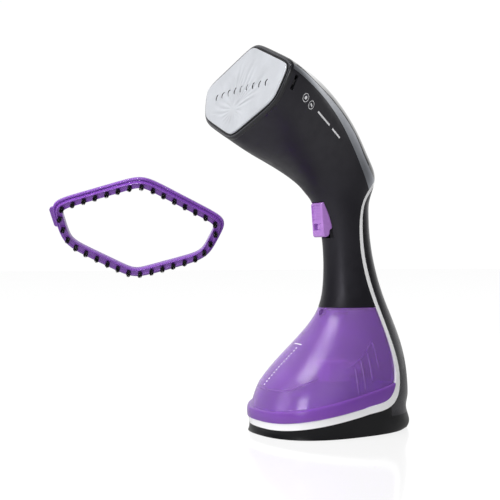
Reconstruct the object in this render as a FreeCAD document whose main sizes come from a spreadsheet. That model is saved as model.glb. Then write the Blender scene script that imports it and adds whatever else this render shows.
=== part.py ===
import FreeCAD, Part
import Sketcher
import math
import os
from FreeCAD import Placement, Rotation, Vector

# Garment steamer.  Millimetres, +Z up, front of the steamer towards -Y, width
# along X, origin at the centre of the footprint on the surface it stands on.

doc = FreeCAD.newDocument("garment_steamer")
sheet = doc.addObject("Spreadsheet::Sheet", "Dims")

DIMENSIONS = {
    # casing
    "wall": 2.2,
    "inner_gap": 0.3,
    "part_gap": 0.45,
    "foot_gap": 0.6,
    "pad_height": 1.4,
    "pad_inset": 4.0,
    "plate_floor": 3.6,
    "neck_end": 100.6,
    "neck_floor_top": 102.4,
    "neck_port_radius": 10.0,
    "rear_seam": 14.0,
    "rear_seam_start": 29.0,
    # steam head, measured from the middle of the casing's front edge
    "head_y": -79.2,
    "head_z": 272.1,
    "head_tilt": 74.0,
    "plate_half_width": 61.5,
    "plate_low_half_width": 52.5,
    "plate_half_height": 37.7,
    "plate_wide_level": 11.0,
    "plate_low_level": -15.5,
    "plate_back": -2.0,
    "plate_face": 4.5,
    "plate_edge": 1.2,
    "slit_count": 9,
    "slit_pitch": 9.4,
    "slit_length": 5.5,
    "slit_width": 1.5,
    "gasket_width": 1.2,
    "gasket_face": 3.5,
    "bezel_margin": 4.0,
    "bezel_face": 3.0,
    "bezel_bevel": 0.9,
    "clip_slot_width": 3.0,
    "clip_slot_length": 11.0,
    "clip_slot_back": -5.0,
    # boiler, behind the plate
    "boiler_margin": -9.0,
    "chamber_margin": -14.0,
    "boiler_back": -20.0,
    "chamber_front": -8.0,
    "seal_back": -21.0,
    "lid_back": -24.0,
    "boiler_screw_radius": 1.5,
    "boiler_screw_head": 2.8,
    "boiler_screw_head_height": 2.2,
    "boiler_screw_length": 12.0,
    "element_radius": 3.2,
    "element_bend": 12.0,
    "element_reach": 30.0,
    "thermostat_radius": 7.5,
    "thermostat_height": 6.0,
    "fuse_radius": 2.5,
    "fuse_length": 12.0,
    "inlet_level": -22.8,
    "inlet_radius": 2.6,
    "inlet_length": 8.0,
    "shield_margin": -13.0,
    "shield_front": -34.0,
    "shield_back": -35.4,
    # trigger and switch, in the front of the neck
    "trigger_width": 15.4,
    "trigger_top": 187.0,
    "trigger_bottom": 158.6,
    "trigger_face_top": -11.5,
    "trigger_face_bottom": -9.2,
    "trigger_depth": 2.0,
    "trigger_round": 1.2,
    "trigger_nose_round": 2.2,
    "trigger_tail": -2.4,
    "trigger_tail_top": 165.0,
    "trigger_tail_rise": 2.5,
    "trigger_tail_round": 4.0,
    "opening_front": -18.0,
    "opening_depth": 24.0,
    "recess_width": 11.6,
    "recess_depth": 0.5,
    "recess_rise": 4.4,
    "recess_drop": 2.2,
    "trigger_clearance": 0.7,
    "window_width": 10.4,
    "window_height": 5.4,
    "window_level": 167.0,
    "window_floor": -5.6,
    "lock_width": 4.6,
    "lock_height": 4.6,
    "lock_depth": 4.4,
    "rib_count": 6,
    "rib_rise": 6.2,
    "rib_pitch": 2.2,
    "rib_width": 11.0,
    "rib_height": 0.9,
    "rib_depth": 1.0,
    "pin_radius": 1.5,
    "pin_clearance": 0.06,
    "pin_length": 20.0,
    "pin_y": 4.5,
    "pin_z": 183.0,
    "bracket_width": 20.8,
    "bracket_sheet": 2.0,
    "bracket_back": 15.0,
    "bracket_bottom": 156.0,
    "bracket_top": 188.0,
    "spring_radius": 2.2,
    "spring_wire": 0.35,
    "spring_pitch": 1.7,
    "spring_level": 175.0,
    "switch_width": 12.0,
    "switch_depth": 5.5,
    "switch_height": 12.0,
    "switch_level": 164.0,
    "switch_tip_rise": 4.0,
    "switch_tip_gap": 1.5,
    # electronics
    "board_width": 22.0,
    "board_thickness": 1.6,
    "board_height": 38.0,
    "board_y": 22.0,
    "board_bottom": 112.0,
    "relay_width": 12.0,
    "relay_depth": 9.0,
    "relay_height": 15.0,
    "capacitor_radius": 3.5,
    "capacitor_length": 9.0,
    # pump and hoses
    "pump_radius": 8.2,
    "motor_length": 26.0,
    "pump_head_length": 14.0,
    "pump_start": -19.0,
    "pump_y": 49.8,
    "pump_z": 62.0,
    "mount_radius": 8.7,
    "mount_width": 4.0,
    "hose_radius": 2.5,
    "hose_bore": 1.5,
    "loom_radius": 2.0,
    "spigot_radius": 4.0,
    "spigot_bore": 2.0,
    "spigot_level": 47.0,
    "spigot_tip": 33.5,
    "spigot_flange": 7.0,
    "spigot_flange_start": 41.0,
    "spigot_flange_end": 42.6,
    "spigot_end": 46.0,
    # tank
    "tank_top": 100.1,
    "tank_wall": 2.1,
    "flange_level": 23.2,
    "flange_start": -53.0,
    "flange_slope": 0.19,
    "flange_proud": 0.8,
    "flange_round": 1.8,
    "tank_slim": 1.8,
    "filler_y": 14.0,
    "filler_hole": 7.0,
    "filler_lip": 8.5,
    "filler_seat": 98.7,
    "plug_bottom": 92.0,
    "plug_wall": 1.3,
    "plug_skirt": 5.0,
    "plug_clearance": 0.35,
    "seal_bottom": 94.0,
    "seal_height": 1.8,
    "seal_clearance": 0.4,
    "bush_radius": 5.8,
    "bush_bore": 4.35,
    "bush_length": 4.5,
    "tank_back": 38.2,
    "bush_setback": 1.6,
    "filter_width": 18.0,
    "filter_depth": 20.0,
    "filter_height": 16.0,
    "filter_y": -4.0,
    "button_radius": 2.2,
    "button_level": 96.5,
    "button_length": 4.6,
    # cord inlet
    "inlet_height": 32.0,
    "gland_radius": 7.0,
    "gland_bore": 3.75,
    "gland_outer": 69.0,
    "gland_length": 9.0,
    "clamp_width": 16.0,
    "clamp_depth": 6.0,
    "clamp_height": 12.0,
    "clamp_y": 51.0,
    # base fixings
    "base_screw_radius": 1.4,
    "base_screw_head": 3.0,
    "base_screw_length": 9.0,
    "post_radius": 4.0,
    # brush attachment
    "brush_outer": 8.4,
    "brush_inner": 0.8,
    "brush_rail_outer": 6.0,
    "brush_back": -2.0,
    "brush_step": 2.0,
    "brush_face": 5.0,
    "brush_inner_sharpness": 17,
    "tuft_count": 33,
    "tuft_radius": 1.7,
    "tuft_length": 7.0,
    "hook_width": 9.0,
    "hook_sheet": 2.0,
    "hook_length": 9.0,
    "hook_clearance": 0.5,
    "hook_barb": 1.4,
    "hook_rise": 2.3,
    "tab_depth": 2.2,
    "tab_width": 17.0,
    "tab_height": 2.6,
    "tab_rise": 8.0,
    "tab_round": 2.0,
}
row = 0
for alias, value in DIMENSIONS.items():
    row += 1
    sheet.set("A%d" % row, alias)
    sheet.set("B%d" % row, str(value))
    sheet.setAlias("B%d" % row, alias)
doc.recompute()


def dim(alias):
    return float(getattr(sheet, alias))


# ---------------------------------------------------------------- outer form
# Control sections of the one smooth outer form that all casing pieces are cut
# from: (y, z, tilt of the section, half width, half depth, superellipse power,
#  how far it is the hexagon of the steam head)
SECTIONS = [
    (-79.2, 272.1, 74, 65.5, 41.7, 2.4, 1.0),
    (-68.0, 267.8, 74, 63.0, 43.6, 2.4, 0.95),
    (-54.0, 261.1, 70, 56.0, 42.3, 2.4, 0.7),
    (-37.8, 253.4, 63, 46.0, 39.6, 2.4, 0.35),
    (-20.0, 242.0, 52, 36.0, 37.1, 2.3, 0.1),
    (-3.4, 227.5, 37, 26.5, 35.3, 2.3, 0.0),
    (7.1, 214.5, 26, 21.0, 33.7, 2.25, 0.0),
    (14.1, 205.0, 18, 19.0, 34.6, 2.25, 0.0),
    (16.4, 197.5, 13, 18.0, 31.5, 2.2, 0.0),
    (14.3, 187.8, 6, 17.4, 25.5, 2.2, 0.0),
    (16.9, 177.0, 3, 17.3, 22.4, 2.2, 0.0),
    (19.1, 162.0, 0, 17.2, 20.7, 2.2, 0.0),
    (21.7, 143.0, 0, 17.0, 21.5, 2.2, 0.0),
    (24.5, 123.0, 0, 18.2, 24.4, 2.2, 0.0),
    (27.0, 106.0, 0, 20.5, 28.7, 2.2, 0.0),
    (27.0, 92.0, 0, 25.0, 34.9, 2.2, 0.0),
    (22.6, 77.0, 0, 33.0, 43.7, 2.3, 0.0),
    (15.8, 62.5, 0, 41.0, 53.1, 2.35, 0.0),
    (9.2, 49.0, 0, 46.0, 61.1, 2.4, 0.0),
    (4.8, 38.0, 0, 48.3, 65.6, 2.45, 0.0),
    (2.9, 28.0, 0, 49.6, 67.4, 2.5, 0.0),
    (-0.4, 15.0, 0, 50.8, 67.6, 2.5, 0.0),
    (-1.4, 0.0, 0, 50.4, 65.8, 2.5, 0.0),
]
RINGS_PER_SPAN = 2
RING_POINTS = 64
TANK_FLUSH = 88.0
TANK_SLIM = 45.0
HEX_SHARPNESS = 12
FINE_RING_POINTS = 128
END_OVERRUN = 2.0
THROUGH = 20.0


def hexagon_edges(margin):
    """Outward angle and distance of the six sides of the plate outline."""
    wide = dim("plate_half_width")
    low = dim("plate_low_half_width")
    high = dim("plate_half_height")
    corners = [
        (0, high),
        (wide, dim("plate_wide_level")),
        (low, dim("plate_low_level")),
        (0, -high),
        (-low, dim("plate_low_level")),
        (-wide, dim("plate_wide_level")),
    ]
    edges = []
    for index, (x0, y0) in enumerate(corners):
        x1, y1 = corners[(index + 1) % 6]
        length = math.hypot(x1 - x0, y1 - y0)
        nx, ny = -(y1 - y0) / length, (x1 - x0) / length
        if nx * (x0 + x1) + ny * (y0 + y1) < 0:
            nx, ny = -nx, -ny
        edges.append((nx, ny, nx * x0 + ny * y0 + margin))
    return edges


def hexagon_radius(cosine, sine, edges, sharpness=HEX_SHARPNESS):
    """Distance from the centre to a hexagon with softly rounded corners."""
    total = 0.0
    for nx, ny, distance in edges:
        reach = (nx * cosine + ny * sine) / distance
        if reach > 0:
            total += reach ** sharpness
    return total ** (-1.0 / sharpness)


def ring_direction(index, width, depth, count=RING_POINTS):
    """Direction of one ring point, closer together round the narrow ends."""
    turn = 2 * math.pi * index / count - math.pi / 2
    x = width * math.cos(turn)
    y = depth * math.sin(turn)
    length = math.hypot(x, y)
    return x / length, y / length


def ring_curve(points):
    """One closed spline through the points, evenly numbered."""
    curve = Part.BSplineCurve()
    numbers = [float(i) for i in range(len(points) + 1)]
    curve.interpolate(Points=points, PeriodicFlag=True, Parameters=numbers)
    return curve


def smooth_ring(points):
    return Part.Wire([ring_curve(points).toShape()])


def section_ring(section, inset, shift=0.0):
    """Ring of one section, inset from the outer form, moved along its axis."""
    y, z, tilt, width, depth, power, hexness = section
    width -= inset
    depth -= inset
    margin = dim("bezel_margin")
    edges = hexagon_edges(margin)
    full_width = dim("plate_half_width") + margin
    full_depth = dim("plate_half_height") + margin
    angle = math.radians(tilt)
    along = Vector(0, -math.sin(angle), math.cos(angle))
    centre = Vector(0, y, z) + along * shift
    up = Vector(0, math.cos(angle), math.sin(angle))
    points = []
    for index in range(RING_POINTS):
        cosine, sine = ring_direction(index, width, depth)
        oval = (abs(cosine / width) ** power + abs(sine / depth) ** power) ** (-1 / power)
        six = hexagon_radius(cosine, sine, edges)
        across = (1 - hexness) * oval * cosine + hexness * six * cosine * width / full_width
        upward = (1 - hexness) * oval * sine + hexness * six * sine * depth / full_depth
        points.append(centre + Vector(across, 0, 0) + up * upward)
    return ring_curve(points)


def slimming(z):
    """Share of the tank's extra inset at a height: none at the neck, all of it low down."""
    share = (TANK_FLUSH - z) / (TANK_FLUSH - TANK_SLIM)
    share = min(1.0, max(0.0, share))
    return share * share * (3 - 2 * share)


def casing_loft(inset, slim=0.0):
    """Solid of the outer form, or of the hollow an inset inside it.

    The sections are the control rings of one smooth surface.  Slim is the
    extra inset of the tank, which stands back from the casing low down.
    """
    rings = []
    for index, section in enumerate(SECTIONS):
        shift = 0.0
        if inset > 0 and index == 0:
            shift = END_OVERRUN
        if inset > 0 and index == len(SECTIONS) - 1:
            shift = -END_OVERRUN
        rings.append(section_ring(section, inset + slim * slimming(section[1]), shift))
    poles = [[ring.getPole(i + 1) for ring in rings] for i in range(rings[0].NbPoles)]
    spans = len(rings) - 3
    surface = Part.BSplineSurface()
    surface.buildFromPolesMultsKnots(
        poles, rings[0].getMultiplicities(), [4] + [1] * (spans - 1) + [4],
        rings[0].getKnots(), [float(i) for i in range(spans + 1)], True, False, 3, 3)
    wires = []
    for step in range(spans * RINGS_PER_SPAN + 1):
        level = surface.vIso(step / RINGS_PER_SPAN)
        wires.append(Part.Wire([level.toShape()]))
    return Part.makeLoft(wires, True, False)


# ------------------------------------------------------------- side outlines
# Seams as (y, z) points in the side view, from the back of the neck forward.
REACH = 90.0
FAR = 130.0

SILVER_LOW = [
    (60, 176), (33, 197.5), (23.8, 212.4), (17.4, 221.8), (4, 236.8), (-12, 250.9),
    (-33.3, 263.4), (-53.6, 271.3), (-67.1, 276.5), (-100, 289),
]
SILVER_HIGH = [
    (60, 196), (47, 202.5), (40, 207.5), (35.3, 213.3), (27.9, 222.8), (16.4, 238.3),
    (0.6, 252.8), (-20.4, 265.9), (-41.2, 274.1), (-58.2, 278.6), (-74, 283.4), (-100, 291.5),
]
WHITE_INNER = [
    (60, 214), (46, 209), (33.4, 199.7), (24.3, 186.3), (20.9, 168), (21.7, 151), (24.4, 134.7),
    (29.6, 114.7), (35.8, 92), (38.2, 70), (38.2, 48), (34.6, 36.5), (27.5, 28.7), (18, 25.5),
    (0, 22.5),
]
WHITE_OUTER = [
    (60, 209.5), (46.6, 205.3), (35.6, 197), (27.4, 186.3), (24.2, 168), (25.3, 151), (28.4, 134),
    (34.4, 113), (40, 92), (42.2, 70), (43.2, 48), (41.3, 36.5), (36.5, 27.6), (29, 22.3), (18, 19.4),
    (0, 17),
]
FRONT_SLOPE = 0.163


def moved(points, dy, dz):
    return [(y + dy, z + dz) for y, z in points]


def seam_edges(points):
    """Smooth edge through the points of a seam, in the plane of symmetry's side."""
    curve = Part.BSplineCurve()
    curve.interpolate([Vector(-REACH, y, z) for y, z in points])
    return curve.toShape()


def side_prism(seam, closing):
    """Solid across the whole width, bounded by a seam and straight closing lines."""
    first = seam[0]
    last = seam[-1]
    corners = [last] + closing + [first]
    edges = [seam_edges(seam)]
    for (y0, z0), (y1, z1) in zip(corners, corners[1:]):
        edges.append(Part.LineSegment(Vector(-REACH, y0, z0), Vector(-REACH, y1, z1)).toShape())
    wire = Part.Wire(Part.__sortEdges__(edges))
    return Part.Face(wire).extrude(Vector(2 * REACH, 0, 0))


def below_seam(points):
    """Everything behind a trim seam on the neck and below it along the base."""
    y, z = points[-1]
    front = (-FAR, z - FRONT_SLOPE * (y + FAR))
    top_y, top_z = points[0]
    return side_prism(points, [front, (-FAR, -FAR), (FAR, -FAR), (FAR, top_z)])


def above_seam(points):
    """Everything above a trim seam along the top of the head."""
    y, z = points[-1]
    return side_prism(points, [(y, 3 * FAR), (FAR, 3 * FAR), (FAR, points[0][1])])


def slab(z_low, z_high, y_low=-FAR, y_high=FAR):
    size = Vector(2 * REACH, y_high - y_low, z_high - z_low)
    return Part.makeBox(size.x, size.y, size.z, Vector(-REACH, y_low, z_low))


# ------------------------------------------------------------ document tools
nodes = []


def keep(obj, node):
    obj.Label = node
    nodes.append(obj)
    return obj


def free_form(node, shape, placement=None):
    """A sub-part with a free-form shape, placed after its shape is set."""
    obj = doc.addObject("Part::Feature", node)
    obj.Shape = shape
    if placement is not None:
        obj.Placement = placement
    return keep(obj, node)


def solid(kind, name, place, **sizes):
    """A primitive whose sizes follow cells of the sheet."""
    obj = doc.addObject("Part::" + kind, name)
    for prop, expression in sizes.items():
        obj.setExpression(prop, expression)
    obj.Placement = place
    return obj


def joined(kind, name, base, tool):
    """Part::Cut or Part::Common of two objects."""
    obj = doc.addObject("Part::" + kind, name)
    obj.Base = base
    obj.Tool = tool
    return obj


def fused(name, shapes):
    obj = doc.addObject("Part::MultiFuse", name)
    obj.Shapes = shapes
    return obj


def at(x, y, z, axis=None, angle=0.0):
    if axis is None:
        return Placement(Vector(x, y, z), Rotation())
    return Placement(Vector(x, y, z), Rotation(axis, angle))


X_AXIS = Vector(1, 0, 0)
Y_AXIS = Vector(0, 1, 0)
Z_AXIS = Vector(0, 0, 1)


def along_x(x, y, z):
    """Placement that turns a cylinder's axis to +X."""
    return at(x, y, z, Y_AXIS, 90)


def along_y(x, y, z):
    """Placement that turns a cylinder's axis to +Y."""
    return at(x, y, z, X_AXIS, -90)


def sketch_on(body, role, name):
    sketch = body.newObject("Sketcher::SketchObject", name)
    for feature in body.Origin.OriginFeatures:
        if feature.Role == role:
            sketch.AttachmentSupport = [(feature, "")]
    sketch.MapMode = "FlatFace"
    return sketch


def draw_outline(sketch, points):
    """Closed outline of straight lines whose ends are tied together."""
    count = len(points)
    for index in range(count):
        x0, y0 = points[index]
        x1, y1 = points[(index + 1) % count]
        sketch.addGeometry(Part.LineSegment(Vector(x0, y0, 0), Vector(x1, y1, 0)), False)
    for index in range(count):
        tie = Sketcher.Constraint("Coincident", index, 2, (index + 1) % count, 1)
        sketch.addConstraint(tie)


def padded(node, role, points, length, both_ways=True):
    """PartDesign body: an outline padded by a length from the sheet."""
    body = doc.addObject("PartDesign::Body", node)
    sketch = sketch_on(body, role, node + "_outline")
    draw_outline(sketch, points)
    pad = body.newObject("PartDesign::Pad", node + "_pad")
    pad.Profile = sketch
    pad.setExpression("Length", length)
    pad.Midplane = both_ways
    doc.recompute()
    return body


def turned(node, points, placement):
    """PartDesign body: a half outline (radius, height) revolved about Z."""
    body = doc.addObject("PartDesign::Body", node)
    sketch = sketch_on(body, "XZ_Plane", node + "_profile")
    draw_outline(sketch, points)
    turn = body.newObject("PartDesign::Revolution", node + "_turn")
    turn.Profile = sketch
    turn.ReferenceAxis = (sketch, ["V_Axis"])
    turn.Angle = 360
    body.Placement = placement
    doc.recompute()
    return body


def rounded_route(points, most):
    """Straight runs joined by tangent arcs, each as large as its runs allow."""
    points = [Vector(*p) for p in points]
    edges = []
    start = points[0]
    for index in range(1, len(points) - 1):
        before, corner, after = points[index - 1], points[index], points[index + 1]
        inward = (corner - before).normalize()
        outward = (after - corner).normalize()
        turn = inward.getAngle(outward)
        run = min((corner - before).Length, (after - corner).Length)
        radius = min(0.45 * run / math.tan(turn / 2), most)
        reach = radius * math.tan(turn / 2)
        enter = corner - inward * reach
        leave = corner + outward * reach
        toward = (outward - inward).normalize()
        middle = corner + toward * (radius / math.cos(turn / 2) - radius)
        edges.append(Part.LineSegment(start, enter).toShape())
        edges.append(Part.Arc(enter, middle, leave).toShape())
        start = leave
    edges.append(Part.LineSegment(start, points[-1]).toShape())
    return Part.Wire(edges)


def tube(points, radius, most, bore=0.0):
    """Round tube along a rounded route."""
    route = rounded_route(points, most)
    start = Vector(*points[0])
    direction = (Vector(*points[1]) - start).normalize()
    outline = Part.Wire([Part.makeCircle(radius, start, direction)])
    body = route.makePipeShell([outline], True, False)
    if bore > 0:
        inner = Part.Wire([Part.makeCircle(bore, start, direction)])
        body = body.cut(route.makePipeShell([inner], True, False))
    return body


# ------------------------------------------------------------- casing pieces
outer = casing_loft(0)
hollow = casing_loft(dim("wall"))
core = casing_loft(dim("wall") + dim("inner_gap"))
skin = outer.cut(hollow)

behind_inner = below_seam(WHITE_INNER)
behind_outer = below_seam(WHITE_OUTER)
over_low = above_seam(SILVER_LOW)
over_high = above_seam(SILVER_HIGH)
neck_end = dim("neck_end")

head_place = at(0, dim("head_y"), dim("head_z"), X_AXIS, dim("head_tilt"))


def head_disc(margin, back, front, sharpness=HEX_SHARPNESS, count=RING_POINTS):
    """Plate-shaped disc in the head's own axes: x across, y up, z forward."""
    edges = hexagon_edges(margin)
    width = dim("plate_half_width") + margin
    height = dim("plate_half_height") + margin
    points = []
    for index in range(count):
        cosine, sine = ring_direction(index, width, height, count)
        radius = hexagon_radius(cosine, sine, edges, sharpness)
        points.append(Vector(radius * cosine, radius * sine, back))
    return Part.Face(smooth_ring(points)).extrude(Vector(0, 0, front - back))


def head_ring(outside, inside, back, front):
    return head_disc(outside, back, front).cut(head_disc(inside, back - 1, front + 1))


def to_world(shape):
    placed = shape.copy()
    placed.Placement = head_place
    return placed


def clip_slots():
    """The two side slots that the brush hooks into, in the head's axes."""
    width = dim("clip_slot_width")
    length = dim("clip_slot_length")
    back = dim("clip_slot_back")
    across = 2 * (dim("plate_half_width") + 3 * dim("bezel_margin"))
    return Part.makeBox(across, length, width, Vector(-across / 2, -length / 2, back - width / 2))


def trigger_opening():
    gap = dim("trigger_clearance")
    width = dim("trigger_width") + 2 * gap
    low = dim("trigger_bottom") - gap
    high = dim("trigger_top") + gap
    corner = Vector(-width / 2, dim("opening_front"), low)
    return Part.makeBox(width, dim("opening_depth"), high - low, corner)


def gland_hole():
    length = 3 * dim("gland_length")
    start = Vector(0, dim("gland_outer") - dim("gland_length"), dim("inlet_height"))
    return Part.makeCylinder(dim("gland_radius"), length, start, Y_AXIS)


upper = skin.common(slab(neck_end, 3 * FAR))
shell = upper.cut(behind_inner).cut(over_low)
shell = shell.cut(to_world(clip_slots())).cut(trigger_opening())
free_form("body_shell", shell)

silver = upper.common(over_low).cut(over_high).cut(behind_inner)
free_form("silver_trim", silver)
free_form("top_cover", upper.common(over_high).cut(behind_inner))
free_form("white_trim", skin.common(behind_inner).cut(behind_outer))

rear_zone = slab(dim("rear_seam"), 3 * FAR, dim("rear_seam_start")).fuse(slab(neck_end, 3 * FAR))
behind = skin.common(behind_outer)
free_form("rear_cover", behind.common(rear_zone).cut(gland_hole()))
foot = behind.cut(rear_zone).common(slab(dim("foot_gap"), FAR))
free_form("base_foot", foot)

step = dim("wall")
dock = core.common(behind_inner).cut(below_seam(moved(WHITE_INNER, step, -step)))
dock = dock.common(slab(0, neck_end))
hole_start = Vector(0, dim("spigot_tip"), dim("spigot_level"))
spigot_hole = Part.makeCylinder(dim("spigot_radius"), THROUGH, hole_start, Y_AXIS)
dock = dock.cut(spigot_hole)

POSTS = [(30, -38), (-30, -38), (34, 14), (-34, 14)]
under_tray = below_seam(moved(WHITE_INNER, step / 2, -step / 2))
for x, y in POSTS:
    post = Part.makeCylinder(dim("post_radius"), FAR, Vector(x, y, dim("plate_floor")))
    dock = dock.fuse(post.common(under_tray))
for x, y in POSTS:
    screw_reach = dim("base_screw_length") + 1
    dock = dock.cut(Part.makeCylinder(dim("base_screw_radius"), screw_reach, Vector(x, y, 0)))
free_form("tank_dock", dock)

floor = core.common(slab(neck_end, dim("neck_floor_top"))).cut(behind_inner)
port = Part.makeCylinder(dim("neck_port_radius"), THROUGH, Vector(0, dim("filler_y"), dim("plug_bottom")))
free_form("neck_floor", floor.cut(port))

underside = core.common(slab(dim("pad_height"), dim("plate_floor")))
for x, y in POSTS:
    underside = underside.cut(Part.makeCylinder(dim("base_screw_head") + 0.1, THROUGH, Vector(x, y, 0)))
free_form("base_plate", underside)

pad_shape = casing_loft(dim("pad_inset")).common(slab(0, dim("pad_height")))
free_form("foot_pad", pad_shape)


def base_screw(index, x, y):
    head = solid("Cylinder", "base_screw_head_%d" % index, at(x, y, dim("pad_height")),
                 Radius="Dims.base_screw_head", Height="Dims.plate_floor - Dims.pad_height - 0.1")
    shank = solid("Cylinder", "base_screw_shank_%d" % index, at(x, y, dim("plate_floor") - 0.2),
                  Radius="Dims.base_screw_radius - 0.05", Height="Dims.base_screw_length - 3")
    return fused("base_screw_%d" % index, [head, shank])


screws = [base_screw(i, x, y) for i, (x, y) in enumerate(POSTS)]
base_screws = doc.addObject("Part::Compound", "base_screws")
base_screws.Links = screws
keep(base_screws, "base_screws")

# ------------------------------------------------------------------ steam head
plate = head_disc(0, dim("plate_back"), dim("plate_face"))
front_edges = [e for e in plate.Edges if abs(e.BoundBox.ZMin - dim("plate_face")) < 0.01
               and abs(e.BoundBox.ZMax - dim("plate_face")) < 0.01]
plate = plate.makeFillet(dim("plate_edge"), front_edges)
count = int(dim("slit_count"))
for index in range(count):
    x = (index - (count - 1) / 2) * dim("slit_pitch")
    bow = 1.0 - (x / (count * dim("slit_pitch") / 2)) ** 2
    slit = Part.makeBox(dim("slit_width"), dim("slit_length"), THROUGH,
                        Vector(-dim("slit_width") / 2, -dim("slit_length") / 2, -THROUGH / 2))
    slit.Placement = at(x, bow, 0, Z_AXIS, -0.9 * x)
    plate = plate.cut(slit)
free_form("head_plate", plate, head_place)

gasket_edge = dim("gasket_width")
gasket = head_ring(gasket_edge, 0, 0, dim("gasket_face"))
free_form("plate_gasket", gasket, head_place)

bezel = head_disc(dim("bezel_margin"), 0, dim("bezel_face"))
face_edges = [e for e in bezel.Edges if abs(e.BoundBox.ZMin - dim("bezel_face")) < 0.01]
bezel = bezel.makeChamfer(dim("bezel_bevel"), face_edges)
bezel = bezel.cut(head_disc(gasket_edge, -1, 9))
free_form("head_bezel", bezel, head_place)

boiler = head_disc(dim("boiler_margin"), dim("boiler_back"), dim("plate_back"))
boiler = boiler.cut(head_disc(dim("chamber_margin"), dim("boiler_back") - 1, dim("chamber_front")))
seal = head_ring(dim("boiler_margin"), dim("chamber_margin"), dim("seal_back"), dim("boiler_back"))
lid = head_disc(dim("boiler_margin"), dim("lid_back"), dim("seal_back"))
inlet_y = dim("inlet_level") + 4
inlet_start = Vector(0, inlet_y, dim("lid_back") - dim("inlet_length"))
inlet_reach = dim("inlet_length") + dim("seal_back") - dim("lid_back") + 1
lid = lid.cut(Part.makeCylinder(dim("inlet_radius") - 1, inlet_reach, inlet_start))

SCREW_SPOTS = [(0, 24.4), (39, 10), (35, -11), (0, -24.4), (-35, -11), (-39, 10)]
for x, y in SCREW_SPOTS:
    hole = Part.makeCylinder(dim("boiler_screw_radius"), dim("boiler_screw_length"),
                             Vector(x, y, dim("lid_back")))
    boiler = boiler.cut(hole)
    seal = seal.cut(hole)
    lid = lid.cut(hole)
free_form("boiler_block", boiler, head_place)
free_form("boiler_seal", seal, head_place)
free_form("boiler_lid", lid, head_place)


def boiler_screw(index, x, y):
    """One screw through the lid, in the head's own axes."""
    head = solid("Cylinder", "boiler_screw_head_%d" % index,
                 at(x, y, dim("lid_back") - dim("boiler_screw_head_height")),
                 Radius="Dims.boiler_screw_head", Height="Dims.boiler_screw_head_height")
    shank = solid("Cylinder", "boiler_screw_shank_%d" % index, at(x, y, dim("lid_back") - 0.5),
                  Radius="Dims.boiler_screw_radius - 0.02", Height="Dims.boiler_screw_length")
    return fused("boiler_screw_%d" % index, [head, shank])


boiler_screws = doc.addObject("Part::Compound", "boiler_screws")
boiler_screws.Links = [boiler_screw(i, x, y) for i, (x, y) in enumerate(SCREW_SPOTS)]
boiler_screws.Placement = head_place
keep(boiler_screws, "boiler_screws")

radius = dim("element_radius")
bend = dim("element_bend")
reach = dim("element_reach")
level = dim("lid_back") - radius
legs = [
    Part.LineSegment(Vector(-reach, bend, level), Vector(reach - bend, bend, level)).toShape(),
    Part.Arc(Vector(reach - bend, bend, level), Vector(reach, 0, level),
             Vector(reach - bend, -bend, level)).toShape(),
    Part.LineSegment(Vector(reach - bend, -bend, level), Vector(-reach, -bend, level)).toShape(),
]
outline = Part.Wire([Part.makeCircle(radius, Vector(-reach, bend, level), X_AXIS)])
element = Part.Wire(legs).makePipeShell([outline], True, False)
free_form("heating_element", element, head_place)

thermostat_place = head_place * at(-6, 0, dim("lid_back") - dim("thermostat_height"))
thermostat = solid("Cylinder", "thermostat", thermostat_place,
                   Radius="Dims.thermostat_radius", Height="Dims.thermostat_height")
keep(thermostat, "thermostat")
fuse_place = head_place * along_x(4, 0, dim("lid_back") - dim("fuse_radius"))
thermal_fuse = solid("Cylinder", "thermal_fuse", fuse_place,
                     Radius="Dims.fuse_radius", Height="Dims.fuse_length")
keep(thermal_fuse, "thermal_fuse")

inlet_outer = solid("Cylinder", "inlet_outer", at(0, inlet_y, dim("lid_back") - dim("inlet_length")),
                    Radius="Dims.inlet_radius", Height="Dims.inlet_length")
inlet_inner = solid("Cylinder", "inlet_inner", at(0, inlet_y, dim("lid_back") - dim("inlet_length") - 1),
                    Radius="Dims.inlet_radius - 1", Height="Dims.inlet_length + 2")
boiler_inlet = joined("Cut", "boiler_inlet", inlet_outer, inlet_inner)
boiler_inlet.Placement = head_place
keep(boiler_inlet, "boiler_inlet")

shield = head_disc(dim("shield_margin"), dim("shield_back"), dim("shield_front"))
shield_hole = Vector(0, inlet_y, dim("shield_back") - 1)
shield = shield.cut(Part.makeCylinder(2 * dim("inlet_radius"), THROUGH, shield_hole))
free_form("heat_shield", shield, head_place)

# ------------------------------------------------------------------ trigger
trigger_top = dim("trigger_top")
trigger_bottom = dim("trigger_bottom")
face_top = dim("trigger_face_top")
face_bottom = dim("trigger_face_bottom")
face_lean = (face_bottom - face_top) / (trigger_top - trigger_bottom)
trigger_back = dim("trigger_depth")
tail = dim("trigger_tail")
tail_top = dim("trigger_tail_top")
hub_y = dim("pin_y")
hub_z = dim("pin_z")
hub_radius = dim("pin_radius") + 1.6
TRIGGER_SIDE = [
    (face_top + 1.2, trigger_top),
    (face_top, trigger_top - 1.5),
    (face_bottom, trigger_bottom),
    (tail, trigger_bottom),
    (tail, tail_top),
    (trigger_back, tail_top + dim("trigger_tail_rise")),
    (trigger_back, hub_z - hub_radius),
    (hub_y, hub_z - hub_radius),
    (hub_y + hub_radius, hub_z),
    (hub_y, hub_z + hub_radius),
    (trigger_back - 2, trigger_top),
]


def face_level(z):
    """Y of the trigger's leaning face at a height."""
    return face_top + face_lean * (trigger_top - z)


def crossing_edges(shape, y, z):
    """The straight edge across the trigger at one corner of its side outline."""
    corner = Vector(0, y, z)
    return [edge for edge in shape.Edges if (edge.CenterOfMass - corner).Length < 0.01]


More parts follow.
